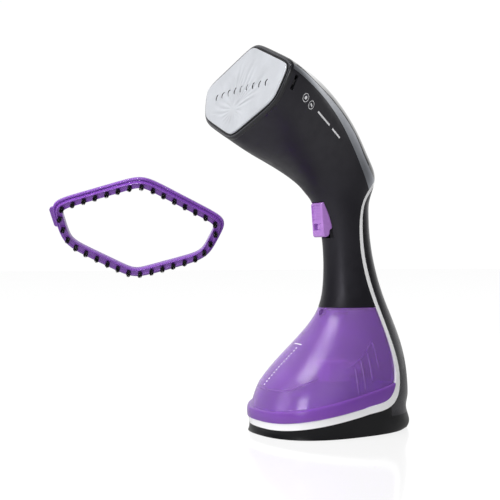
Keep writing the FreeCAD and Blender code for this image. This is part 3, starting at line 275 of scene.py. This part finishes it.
def outline(margin, sharpness):
    """The plate's hexagon, moved out by a margin, with corners of a given sharpness."""
    edges = []
    for (x0, y0), (x1, y1) in zip(CORNERS, CORNERS[1:] + CORNERS[:1]):
        length = math.hypot(x1 - x0, y1 - y0)
        nx, ny = (y0 - y1) / length, (x1 - x0) / length
        if nx * (x0 + x1) + ny * (y0 + y1) < 0:
            nx, ny = -nx, -ny
        edges.append((nx, ny, nx * x0 + ny * y0 + margin))
    points = []
    for index in range(RING_STEPS):
        turn = 2 * math.pi * index / RING_STEPS - math.pi / 2
        x = (HALF_WIDTH + margin) * math.cos(turn)
        y = (HALF_HEIGHT + margin) * math.sin(turn)
        cosine, sine = x / math.hypot(x, y), y / math.hypot(x, y)
        total = 0.0
        for nx, ny, distance in edges:
            total += max(0.0, (nx * cosine + ny * sine) / distance) ** sharpness
        radius = total ** (-1.0 / sharpness)
        points.append((radius * cosine, radius * sine))
    return points


def face_outward(mesh):
    """Turns every face of a closed mesh outward."""
    shape = bmesh.new()
    shape.from_mesh(mesh)
    bmesh.ops.recalc_face_normals(shape, faces=shape.faces)
    shape.to_mesh(mesh)
    shape.free()


def add_piece(name, vertices, faces, materials, body, place=None, closed=True):
    """A smooth-shaded mesh object that rides on a body."""
    mesh = bpy.data.meshes.new(name)
    if place is not None:
        vertices = [place @ Vector(vertex) for vertex in vertices]
    mesh.from_pydata([tuple(vertex) for vertex in vertices], [], faces)
    mesh.polygons.foreach_set("use_smooth", [True] * len(mesh.polygons))
    if closed:
        face_outward(mesh)
    for material in materials:
        mesh.materials.append(material)
    piece = bpy.data.objects.new(name, mesh)
    scene.collection.objects.link(piece)
    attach(piece, body)
    return piece


def loop_faces(rings, steps, closed):
    """Quads between rings of vertices that follow one another."""
    faces = []
    for ring in range(rings if closed else rings - 1):
        low = ring * steps
        high = (ring + 1) % rings * steps
        for step in range(steps):
            after = (step + 1) % steps
            faces.append((low + step, low + after, high + after, high + step))
    return faces


def swept_ring(name, profile, material, body, place):
    """A closed profile of (margin, level, corner sharpness) led round the hexagon."""
    vertices = []
    for margin, level, sharpness in profile:
        vertices += [(x, y, level) for x, y in outline(margin, sharpness)]
    faces = loop_faces(len(profile), RING_STEPS, True)
    return add_piece(name, vertices, faces, [material], body, place)


# The steam plate: embossed fan of creases and a row of curved slits.
FAN_CENTRE = (-6.0, -15.0)
FAN_ANGLES = [8, 22, 34, 45, 55, 65, 76, 88, 100, 112, 124, 137, 151, 166, 184, 205,
              228, 250, 275, 300, 325, 346]
CREASE_DEPTH = 0.5
CREASE_TWIST = 4.0
CREASE_WAVE = 0.09
CREASE_START = (2.0, 9.0)
EDGE_FADE = (3.0, 9.0)
RIDGE_SHARE = 0.45
REACH_UP = 34.0
REACH_DOWN = 17.0
PLATE_FACE = 4.5
PLATE_FOOT = 1.0
PLATE_RINGS = 110
PLATE_RIM = -0.9
PLATE_EDGE = [(-0.6, 4.45), (-0.3, 4.25), (-0.05, 3.8), (0, PLATE_FOOT)]
SLIT_SPOTS = [(-38.9, -0.6), (-29.5, 0.2), (-20.1, 0.7), (-10.7, 1.0), (-1.3, 1.0),
              (8.1, 0.9), (17.5, 0.7), (26.9, 0.4), (36.2, 0.1)]
SLIT_LINE = [(1.3, 2.9), (0.1, 2.3), (-0.6, 1.2), (-0.7, 0.0), (-0.3, -1.3), (0.5, -2.4)]
SLIT_HALF_WIDTH = [0.35, 0.65, 0.8, 0.78, 0.6, 0.3]
SLIT_LEVELS = (PLATE_FACE - 2.2, PLATE_FACE + 1.5)


def smooth_step(low, high, value):
    """Rises smoothly from 0 at the low value to 1 at the high one."""
    share = min(1.0, max(0.0, (value - low) / (high - low)))
    return share * share * (3 - 2 * share)


def crease_height(u, v, to_edge):
    """How far the plate's face is pressed in or out at a point."""
    du, dv = u - FAN_CENTRE[0], v - FAN_CENTRE[1]
    radius = math.hypot(du, dv)
    height = 0.0
    for index, angle in enumerate(FAN_ANGLES):
        ahead = math.radians(angle + CREASE_TWIST * math.sin(radius * CREASE_WAVE + index))
        along = du * math.cos(ahead) + dv * math.sin(ahead)
        if along <= 0:
            continue
        across = -du * math.sin(ahead) + dv * math.cos(ahead)
        reach = REACH_UP if dv > 0 else REACH_DOWN
        fade = smooth_step(*CREASE_START, along)
        fade *= 1 - smooth_step(reach * 0.55, reach + 8 * (index % 3), along)
        width = 0.8 + 0.03 * along
        valley = math.exp(-(across / width) ** 2)
        ridge = math.exp(-((across - 2.0 * width) / (1.5 * width)) ** 2)
        height += fade * CREASE_DEPTH * (RIDGE_SHARE * ridge - valley)
    return height * smooth_step(*EDGE_FADE, to_edge)


def slit_cutter(u, v, vertices, faces):
    """Adds a thin curved prism that cuts one steam slit."""
    start = len(vertices)
    last = len(SLIT_LINE) - 1
    for level in SLIT_LEVELS:
        for index, (x, y) in enumerate(SLIT_LINE):
            before = SLIT_LINE[max(0, index - 1)]
            after = SLIT_LINE[min(last, index + 1)]
            run = math.hypot(after[0] - before[0], after[1] - before[1])
            nx, ny = (before[1] - after[1]) / run, (after[0] - before[0]) / run
            half = SLIT_HALF_WIDTH[index]
            vertices.append((u + x + nx * half, v + y + ny * half, level))
            vertices.append((u + x - nx * half, v + y - ny * half, level))
    up = 2 * len(SLIT_LINE)
    for index in range(last):
        a, b = start + 2 * index, start + 2 * index + 1
        c, d = a + 2, b + 2
        faces.append((a, b, d, c))
        faces.append((a + up, c + up, d + up, b + up))
        faces.append((a, c, c + up, a + up))
        faces.append((b, b + up, d + up, d))
    end = start + 2 * last
    faces.append((start, start + up, start + 1 + up, start + 1))
    faces.append((end, end + 1, end + 1 + up, end + up))


def plate_mesh():
    """The plate as rings of vertices: the creased face, the rounded rim and the back."""
    vertices = [(0, 0, PLATE_FACE)]
    rim = outline(PLATE_RIM, SHARP_CORNER)
    for ring in range(1, PLATE_RINGS + 1):
        share = ring / PLATE_RINGS
        for x, y in rim:
            u, v = x * share, y * share
            to_edge = (1 - share) * math.hypot(x, y)
            vertices.append((u, v, PLATE_FACE + crease_height(u, v, to_edge)))
    for margin, level in PLATE_EDGE:
        vertices += [(x, y, level) for x, y in outline(margin, SHARP_CORNER)]
    vertices.append((0, 0, PLATE_FOOT))
    rings = PLATE_RINGS + len(PLATE_EDGE)
    faces = [tuple(1 + index for index in face) for face in loop_faces(rings, RING_STEPS, False)]
    low = 1 + (rings - 1) * RING_STEPS
    for step in range(RING_STEPS):
        after = (step + 1) % RING_STEPS
        faces.append((0, 1 + step, 1 + after)[::-1])
        faces.append((len(vertices) - 1, low + step, low + after))
    return vertices, faces


def add_cutter():
    """One object that holds the cutting prisms of all the slits."""
    vertices, faces = [], []
    for u, v in SLIT_SPOTS:
        slit_cutter(u, v, vertices, faces)
    mesh = bpy.data.meshes.new("slit_cutter")
    mesh.from_pydata([tuple(HEAD_PLACE @ Vector(vertex)) for vertex in vertices], [], faces)
    mesh.materials.append(plate_metal)
    mesh.materials.append(slit_painted_shade)
    # Every cutter face takes the slits' painted shade, which the cut leaves on the slit walls.
    mesh.polygons.foreach_set("material_index", [1] * len(mesh.polygons))
    face_outward(mesh)
    cutter = bpy.data.objects.new("slit_cutter", mesh)
    scene.collection.objects.link(cutter)
    return cutter


def add_plate():
    """The steam plate, with its slits cut through the creased face."""
    vertices, faces = plate_mesh()
    plate = add_piece("embossed_plate", vertices, faces, [plate_metal, slit_painted_shade],
                      "root", HEAD_PLACE)
    cutter = add_cutter()
    cut = plate.modifiers.new("slits", "BOOLEAN")
    cut.operation = "DIFFERENCE"
    cut.solver = "EXACT"
    cut.object = cutter
    depsgraph = bpy.context.evaluated_depsgraph_get()
    result = bpy.data.meshes.new_from_object(plate.evaluated_get(depsgraph))
    plate.modifiers.clear()
    plate.data = result
    bpy.data.objects.remove(cutter)
    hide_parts("head_plate")


# The two rings, as closed profiles of (margin, level) in mm.
BEZEL_PROFILE = [
    (1.25, 0.3), (1.25, 2.5), (1.4, 2.85), (1.75, 3.0), (2.3, 3.0), (2.9, 2.8),
    (3.45, 2.35), (3.85, 1.6), (4.0, 0.8), (4.0, 0.05), (3.6, 0.02),
]
# The faces after these profile points take the lighter grey: a painted highlight line along the rim's
# crest.
BEZEL_HIGHLIGHT_BANDS = (2, 3, 4)
BRUSH_PROFILE = [
    (8.4, -1.2), (8.4, 0.9), (8.25, 1.5), (7.8, 1.9), (7.2, 2.0), (6.85, 1.75), (6.65, 1.15),
    (6.4, 1.0), (6.15, 1.15), (6.02, 1.6), (6.0, 4.0), (5.85, 4.6), (5.45, 4.95), (4.95, 5.0),
    (4.65, 4.85), (4.5, 4.6), (4.2, 4.5), (1.6, 4.5), (1.3, 4.6), (1.15, 4.9), (0.95, 4.95),
    (0.8, 4.7), (0.8, -1.6), (1.0, -1.95), (1.4, -2.0), (7.6, -2.0), (8.1, -1.8),
]


def add_bezel():
    """The rounded rim round the plate, grey along its top as a painted highlight line, and black
    elsewhere.
    """
    profile = [(margin, level, SOFT_CORNER) for margin, level in BEZEL_PROFILE]
    bezel = swept_ring("rounded_bezel", profile, bezel_grey, "root", HEAD_PLACE)
    bezel.data.materials.append(bezel_black)
    for face in bezel.data.polygons:
        if face.index // RING_STEPS not in BEZEL_HIGHLIGHT_BANDS:
            face.material_index = 1
    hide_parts("head_bezel")


def add_brush_ring():
    """The brush's ring, whose corners grow softer from its inner edge outward."""
    profile = []
    for margin, level in BRUSH_PROFILE:
        sharpness = SHARP_CORNER + (SOFT_CORNER - SHARP_CORNER) * smooth_step(1.0, 6.0, margin)
        profile.append((margin, level, sharpness))
    ring = swept_ring("stepped_brush_ring", profile, brush_purple, "brush", BRUSH_PLACE)
    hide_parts("brush_frame")


# Bristle tufts, one for each tuft solid of the frame, in mm.
FILAMENTS = 64
FILAMENT_RADIUS = 0.27
FILAMENT_LEVELS = 4
FILAMENT_TAPER = 0.35
GOLDEN_TURN = 2.39996
TURN_JITTER = 0.3
LEAN_JITTER = 0.25
LENGTH_JITTER = 0.9
TUFT_LENGTH = 7.0
TUFT_DOME = 0.8
TUFT_ROOT = 1.6
TUFT_TIP = 1.85
LEAST_TUFT = 4.0
ROOT_LAYER = 0.5


def tuft_solids():
    """The vertices of each separate solid of the bristle node."""
    mesh = bmesh.new()
    mesh.from_mesh(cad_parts["brush_bristles"].data)
    solids = []
    seen = set()
    for vertex in mesh.verts:
        if vertex in seen:
            continue
        solid, waiting = [], [vertex]
        seen.add(vertex)
        while waiting:
            here = waiting.pop()
            solid.append(here.co.copy())
            for edge in here.link_edges:
                other = edge.other_vert(here)
                if other not in seen:
                    seen.add(other)
                    waiting.append(other)
        solids.append(solid)
    mesh.free()
    return solids


def tuft_roots(normal):
    """The middle of each tuft solid's lowest points, in a steady order."""
    spots = {}
    for solid in tuft_solids():
        low = min(point.dot(normal) for point in solid)
        high = max(point.dot(normal) for point in solid)
        base = [point for point in solid if point.dot(normal) < low + ROOT_LAYER * MM]
        middle = sum(base, Vector()) / len(base)
        middle -= normal * (middle.dot(normal) - low)
        if high - low > LEAST_TUFT * MM:
            spots[tuple(round(value, 4) for value in middle)] = middle
    return [spots[key] for key in sorted(spots)]


def add_tufts():
    """Bundles of fine filaments that spread a little towards their tips."""
    generator = random.Random(7)
    normal = (BRUSH_PLACE.to_3x3() @ Vector((0, 0, 1))).normalized()
    along = (BRUSH_PLACE.to_3x3() @ Vector((1, 0, 0))).normalized()
    across = normal.cross(along)
    vertices, faces = [], []
    for middle in tuft_roots(normal):
        for number in range(FILAMENTS):
            share = math.sqrt((number + 0.5) / FILAMENTS)
            turn = number * GOLDEN_TURN + generator.uniform(-TURN_JITTER, TURN_JITTER)
            out = along * math.cos(turn) + across * math.sin(turn)
            lean = generator.uniform(-LEAN_JITTER, LEAN_JITTER)
            side = normal.cross(out)
            shorter = generator.uniform(0.0, LENGTH_JITTER) + TUFT_DOME * share * share
            length = (TUFT_LENGTH - shorter) * MM
            start = len(vertices)
            for step in range(FILAMENT_LEVELS):
                rise = step / (FILAMENT_LEVELS - 1)
                spread = (TUFT_ROOT + (TUFT_TIP - TUFT_ROOT) * rise ** 1.5) * share
                centre = middle + out * (spread * MM) + side * (lean * rise * MM)
                centre += normal * (rise * length)
                size = FILAMENT_RADIUS * (1 - FILAMENT_TAPER * rise) * MM
                for corner in range(3):
                    spin = corner * math.tau / 3
                    arm = along * math.cos(spin) + across * math.sin(spin)
                    vertices.append(centre + arm * size)
            sides = loop_faces(FILAMENT_LEVELS, 3, False)
            faces += [tuple(start + index for index in face) for face in sides]
            faces.append(tuple(range(len(vertices) - 3, len(vertices))))
    tufts = add_piece("bristle_tufts", vertices, faces, [bristle_black], "brush")
    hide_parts("brush_bristles")


# Printed marks and moulded beads that follow the frame's surfaces.
OUTSIDE = Vector((0.6, -0.5, 0.2))
PRINT_HEIGHT = 0.06


def surface(node):
    """A search tree over the faces of one frame node."""
    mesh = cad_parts[node].data
    return BVHTree.FromPolygons([vertex.co for vertex in mesh.vertices],
                                [tuple(face.vertices) for face in mesh.polygons])


def on_surface(tree, point, outside=OUTSIDE):
    """The nearest surface point, and its normal on the side of a point outside."""
    place, normal, _, _ = tree.find_nearest(point)
    if normal.dot(outside - place) < 0:
        normal = -normal
    return place, normal


def finer(points, gap):
    """The same line through more points, no further apart than a gap in mm."""
    line = []
    for a, b in zip(points, points[1:]):
        count = max(1, math.ceil((b - a).length / (gap * MM)))
        line += [a.lerp(b, step / count) for step in range(count)]
    return line + [points[-1]]


def printed_line(tree, points, width, vertices, faces, closed=False, outside=OUTSIDE):
    """A thin printed stroke that follows the surface just above it."""
    start = len(vertices)
    count = len(points)
    lift = None
    for index, point in enumerate(points):
        before = points[index - 1] if closed or index else points[0]
        after = points[(index + 1) % count] if closed else points[min(count - 1, index + 1)]
        place, normal = on_surface(tree, point, outside)
        side = normal.cross(after - before).normalized() * (width * MM / 2)
        for sign in (-1, 1):
            spot, lift = on_surface(tree, place + side * sign, outside)
            vertices.append(spot + lift * (PRINT_HEIGHT * MM))
    for index in range(count if closed else count - 1):
        a = start + 2 * index
        b = start + 2 * ((index + 1) % count)
        quad = (a, b, b + 1, a + 1)
        across = (vertices[b] - vertices[a]).cross(vertices[a + 1] - vertices[a])
        faces.append(quad if across.dot(lift) > 0 else quad[::-1])


def ring_points(tree, centre, radius, count=28):
    """Points of a small circle that lies on a surface round its centre."""
    place, normal = on_surface(tree, centre)
    along = normal.cross(Vector((0, 0, 1))).normalized()
    up = normal.cross(along)
    points = []
    for index in range(count):
        turn = index * math.tau / count
        points.append(place + (along * math.cos(turn) + up * math.sin(turn)) * radius * MM)
    return points


DOT_RING = mm(55.4, -60.0, 261.6)
BAR_RING = mm(51.6, -52.4, 257.3)
BAR_HALF = mm(0, -1.2, 1.3)
DASH_LINE = [mm(47.2, -43, 253.6), mm(39.2, -26.7, 245.9), mm(31.7, -10.6, 237.4)]
DASH_GAP = 2
RING_RADIUS = 3.2
RING_WIDTH = 0.45
DOT_RADIUS = 0.75
DOT_WIDTH = 1.4
BAR_WIDTH = 1.2
DASH_WIDTH = 1.5


def add_head_marks():
    """Two plain rings, one with a dot and one with a bar, and two plain dashes."""
    tree = surface("body_shell")
    vertices, faces = [], []
    for centre in (DOT_RING, BAR_RING):
        printed_line(tree, ring_points(tree, centre, RING_RADIUS), RING_WIDTH, vertices, faces, True)
    dot = ring_points(tree, DOT_RING, DOT_RADIUS, 14)
    printed_line(tree, dot, DOT_WIDTH, vertices, faces, True)
    printed_line(tree, [BAR_RING + BAR_HALF, BAR_RING - BAR_HALF], BAR_WIDTH, vertices, faces)
    line = finer(DASH_LINE, 1.0)
    split = len(line) * 6 // 10
    for dash in (line[:split - DASH_GAP], line[split + DASH_GAP:]):
        printed_line(tree, dash, DASH_WIDTH, vertices, faces)
    add_piece("head_marks", vertices, faces, [print_white], "root", closed=False)


SEAM = [(32, 219.5), (16.4, 239.3), (0.6, 253.8), (-20.4, 266.9), (-41.2, 275.1),
        (-58.2, 279.7), (-72, 284.2)]
SEAM_WIDTH = 2.2
BESIDE = 0.09


def add_cover_seam():
    """The dark joint that runs along the silver trim's upper edge on both sides."""
    tree = surface("top_cover")
    curve = finer([mm(0, y, z) for y, z in SEAM], 1.5)
    for sign, side in ((1, "right"), (-1, "left")):
        points = []
        for point in curve:
            start = Vector((BESIDE * sign, point.y, point.z))
            place, _, _, _ = tree.ray_cast(start, Vector((-sign, 0, 0)))
            if place is not None:
                points.append(place)
        vertices, faces = [], []
        outside = Vector((0.6 * sign, 0.3, 0.6))
        printed_line(tree, points, SEAM_WIDTH, vertices, faces, outside=outside)
        add_piece("cover_seam_" + side, vertices, faces, [dark_trim], "root", closed=False)


LEVEL_PATH = [mm(-7.3, -56.9, 39.4), mm(-4.7, -51.9, 46.4), mm(-3.6, -45.7, 53.1),
              mm(-2.1, -39.3, 59.4), mm(-1.0, -32.7, 65.7), mm(-0.5, -28.5, 69.8)]
LEVEL_COUNT = 14
LEVEL_LENGTH = 1.7
LEVEL_WIDTH = 1.0
TICK = [mm(-8.7, -26.7, 70.8), mm(2.5, -27.9, 70.9)]
TICK_WIDTH = 0.8


def add_tank_marks():
    """A row of short level marks with a plain tick above them."""
    tree = surface("water_tank")
    line = finer(LEVEL_PATH, 0.3)
    half = Vector((LEVEL_LENGTH * MM / 2, 0, 0))
    vertices, faces = [], []
    for number in range(LEVEL_COUNT):
        point = line[round(number * (len(line) - 1) / LEVEL_COUNT)]
        mark = finer([point - half, point + half], 0.5)
        printed_line(tree, mark, LEVEL_WIDTH, vertices, faces)
    printed_line(tree, finer(TICK, 1.0), TICK_WIDTH, vertices, faces)
    add_piece("tank_marks", vertices, faces, [print_white], "tank", closed=False)


RIBS = [
    (mm(40.6, 3.6, 60.7), mm(48.3, 3.5, 35.3)),
    (mm(38.5, 11.8, 66.5), mm(46.8, 11.5, 42.5)),
    (mm(34.9, 20.1, 74.3), mm(43.9, 19.8, 52.1)),
    (mm(42.6, -3.5, 56.5), mm(49.2, -3.6, 33.5)),
]
RIB_ARC = [mm(43.9, -13.5, 53.9), mm(42.5, -4, 56.8), mm(40.3, 4, 61.7),
           mm(38.2, 12, 67.5), mm(34.7, 20.3, 75.5)]
CREASE = [mm(0, -61, 36.7), mm(17.3, -58.4, 37.3), mm(24.7, -53.9, 39.1),
          mm(31, -45.9, 43.1), mm(36.5, -35, 48)]
BEADS = [(rib, 0.8) for rib in RIBS] + [(RIB_ARC, 0.55), (CREASE, 0.7)]
BEAD_SIDES = 8
BEAD_SINK = 0.3
BEAD_HEIGHT = 0.7
END_STEPS = 3


def bead(tree, points, radius, vertices, faces, outside):
    """A moulded bead that lies half sunk along a surface, thin at its ends."""
    start = len(vertices)
    count = len(points)
    for index, point in enumerate(points):
        place, normal = on_surface(tree, point, outside)
        ahead = points[min(count - 1, index + 1)] - points[max(0, index - 1)]
        side = normal.cross(ahead).normalized()
        from_end = min(index, count - 1 - index) / END_STEPS
        size = radius * math.sqrt(min(1.0, 0.1 + from_end)) * MM
        centre = place - normal * BEAD_SINK * MM
        for corner in range(BEAD_SIDES):
            spin = corner * math.tau / BEAD_SIDES
            arm = normal * math.cos(spin) * BEAD_HEIGHT + side * math.sin(spin)
            vertices.append(centre + arm * size)
    faces += [tuple(start + index for index in face) for face in loop_faces(count, BEAD_SIDES, False)]
    faces.append(tuple(range(start, start + BEAD_SIDES))[::-1])
    faces.append(tuple(range(len(vertices) - BEAD_SIDES, len(vertices))))


def add_tank_ribs():
    """The tank's moulded ribs, the arc over them and the crease, on both sides."""
    tree = surface("water_tank")
    for sign, side in ((1, "right"), (-1, "left")):
        outside = Vector((OUTSIDE.x * sign, OUTSIDE.y, OUTSIDE.z))
        vertices, faces = [], []
        for line, radius in BEADS:
            points = [Vector((point.x * sign, point.y, point.z)) for point in line]
            bead(tree, finer(points, 1.2), radius, vertices, faces, outside)
        add_piece("tank_ribs_" + side, vertices, faces, [rib_purple], "tank")


add_plate()
add_bezel()
add_brush_ring()
add_tufts()
add_head_marks()
add_cover_seam()
add_tank_marks()
add_tank_ribs()

# ------------------------------------------------------------- the stage
BACKDROP_SIDE = Vector((-math.sin(AZIMUTH), math.cos(AZIMUTH), 0.0))
FLOOR_SIZE = 24.0
FLOOR_GLOW = 0.30
FLOOR_SEEN = 0.80
FLOOR_MIRROR = 0.17
FLOOR_MATTE = 0.10
ROOM_DIM = 0.11
ROOM_BRIGHT = 1.0
BACKDROP_SEEN = 1.02
MIDDLE = Vector((0, -0.03, 0.14))
LIGHT_DISTANCE = 1.5


def camera_ray_mix(tree, others, seen, out):
    """Shows one shader to the camera and another to every other ray."""
    path = tree.nodes.new("ShaderNodeLightPath")
    mix = tree.nodes.new("ShaderNodeMixShader")
    tree.links.new(path.outputs["Is Camera Ray"], mix.inputs["Fac"])
    tree.links.new(others, mix.inputs[1])
    tree.links.new(seen, mix.inputs[2])
    tree.links.new(mix.outputs["Shader"], out)


def add_floor():
    """A pale floor with a faint reflection, evenly bright as the camera sees it."""
    mesh = bpy.data.meshes.new("floor")
    half = FLOOR_SIZE / 2
    corners = [(-half, -half, 0), (half, -half, 0), (half, half, 0), (-half, half, 0)]
    mesh.from_pydata(corners, [], [(0, 1, 2, 3)])
    floor = bpy.data.objects.new("floor", mesh)
    scene.collection.objects.link(floor)
    nodes = Nodes("floor", {"Base Color": (0.30, 0.30, 0.30, 1), "Roughness": 0.6,
                            "Specular IOR Level": 0.0,
                            "Emission Color": (1, 1, 1, 1), "Emission Strength": FLOOR_GLOW})
    sheen = nodes.add("ShaderNodeBsdfGlossy", Roughness=0.10)
    sheen.inputs["Color"].default_value = rgba((FLOOR_MIRROR,) * 3)
    glow = nodes.add("ShaderNodeEmission", Strength=FLOOR_SEEN)
    shine = nodes.add("ShaderNodeAddShader")
    nodes.link(sheen.outputs["BSDF"], shine.inputs[0])
    nodes.link(glow.outputs["Emission"], shine.inputs[1])
    matte = nodes.add("ShaderNodeBsdfDiffuse")
    matte.inputs["Color"].default_value = rgba((FLOOR_MATTE,) * 3)
    seen = nodes.add("ShaderNodeAddShader")
    nodes.link(shine.outputs["Shader"], seen.inputs[0])
    nodes.link(matte.outputs["BSDF"], seen.inputs[1])
    camera_ray_mix(nodes.tree, nodes.shader.outputs["BSDF"], seen.outputs["Shader"],
                   nodes.tree.nodes["Material Output"].inputs["Surface"])
    floor.data.materials.append(nodes.material)


def add_world():
    """A bright backdrop behind the object and a dim room in front of it."""
    world = bpy.data.worlds.new("studio")
    world.use_nodes = True
    tree = world.node_tree
    room = tree.nodes["Background"]
    put(room, {"Color": (1, 1, 1, 1)})
    coords = tree.nodes.new("ShaderNodeTexCoord")
    facing = tree.nodes.new("ShaderNodeVectorMath")
    facing.operation = "DOT_PRODUCT"
    facing.inputs[1].default_value = BACKDROP_SIDE
    tree.links.new(coords.outputs["Generated"], facing.inputs[0])
    level = tree.nodes.new("ShaderNodeMapRange")
    level.interpolation_type = "SMOOTHSTEP"
    put(level, {"From Min": 0.1, "From Max": 0.85, "To Min": ROOM_DIM, "To Max": ROOM_BRIGHT})
    tree.links.new(facing.outputs["Value"], level.inputs["Value"])
    tree.links.new(level.outputs["Result"], room.inputs["Strength"])
    seen = tree.nodes.new("ShaderNodeBackground")
    put(seen, {"Color": (1, 1, 1, 1), "Strength": BACKDROP_SEEN})
    camera_ray_mix(tree, room.outputs["Background"], seen.outputs["Background"],
                   tree.nodes["World Output"].inputs["Surface"])
    scene.world = world


def add_light(name, azimuth, elevation, size, power, shadows=True, glossy=True):
    """A softbox, placed by its bearing from the object as the camera's is."""
    turn = math.radians(azimuth)
    rise = math.radians(elevation)
    level = math.cos(rise)
    away = Vector((math.sin(turn) * level, -math.cos(turn) * level, math.sin(rise)))
    data = bpy.data.lights.new(name, "AREA")
    data.shape = "RECTANGLE"
    data.size = size[0]
    data.size_y = size[1]
    data.energy = power
    data.use_shadow = shadows
    data.cycles.use_multiple_importance_sampling = shadows
    light = bpy.data.objects.new(name, data)
    light.location = MIDDLE + away * LIGHT_DISTANCE
    light.rotation_mode = "QUATERNION"
    light.rotation_quaternion = (-away).to_track_quat("-Z", "Y")
    light.visible_glossy = glossy
    scene.collection.objects.link(light)


add_floor()
add_world()
add_light("overhead_box", 15, 63.5, (0.75, 0.5), 7.0, shadows=False)
add_light("overhead_spill", 0, 62, (1.2, 1.0), 12.0, glossy=False)
add_light("front_box", 45, 16, (0.5, 0.4), 5.0)
add_light("front_fill", -8, 25, (0.9, 0.9), 14.0, glossy=False)
add_light("side_fill", 90, 25, (0.9, 0.9), 5.0, glossy=False)
scene.view_settings.view_transform = "Standard"
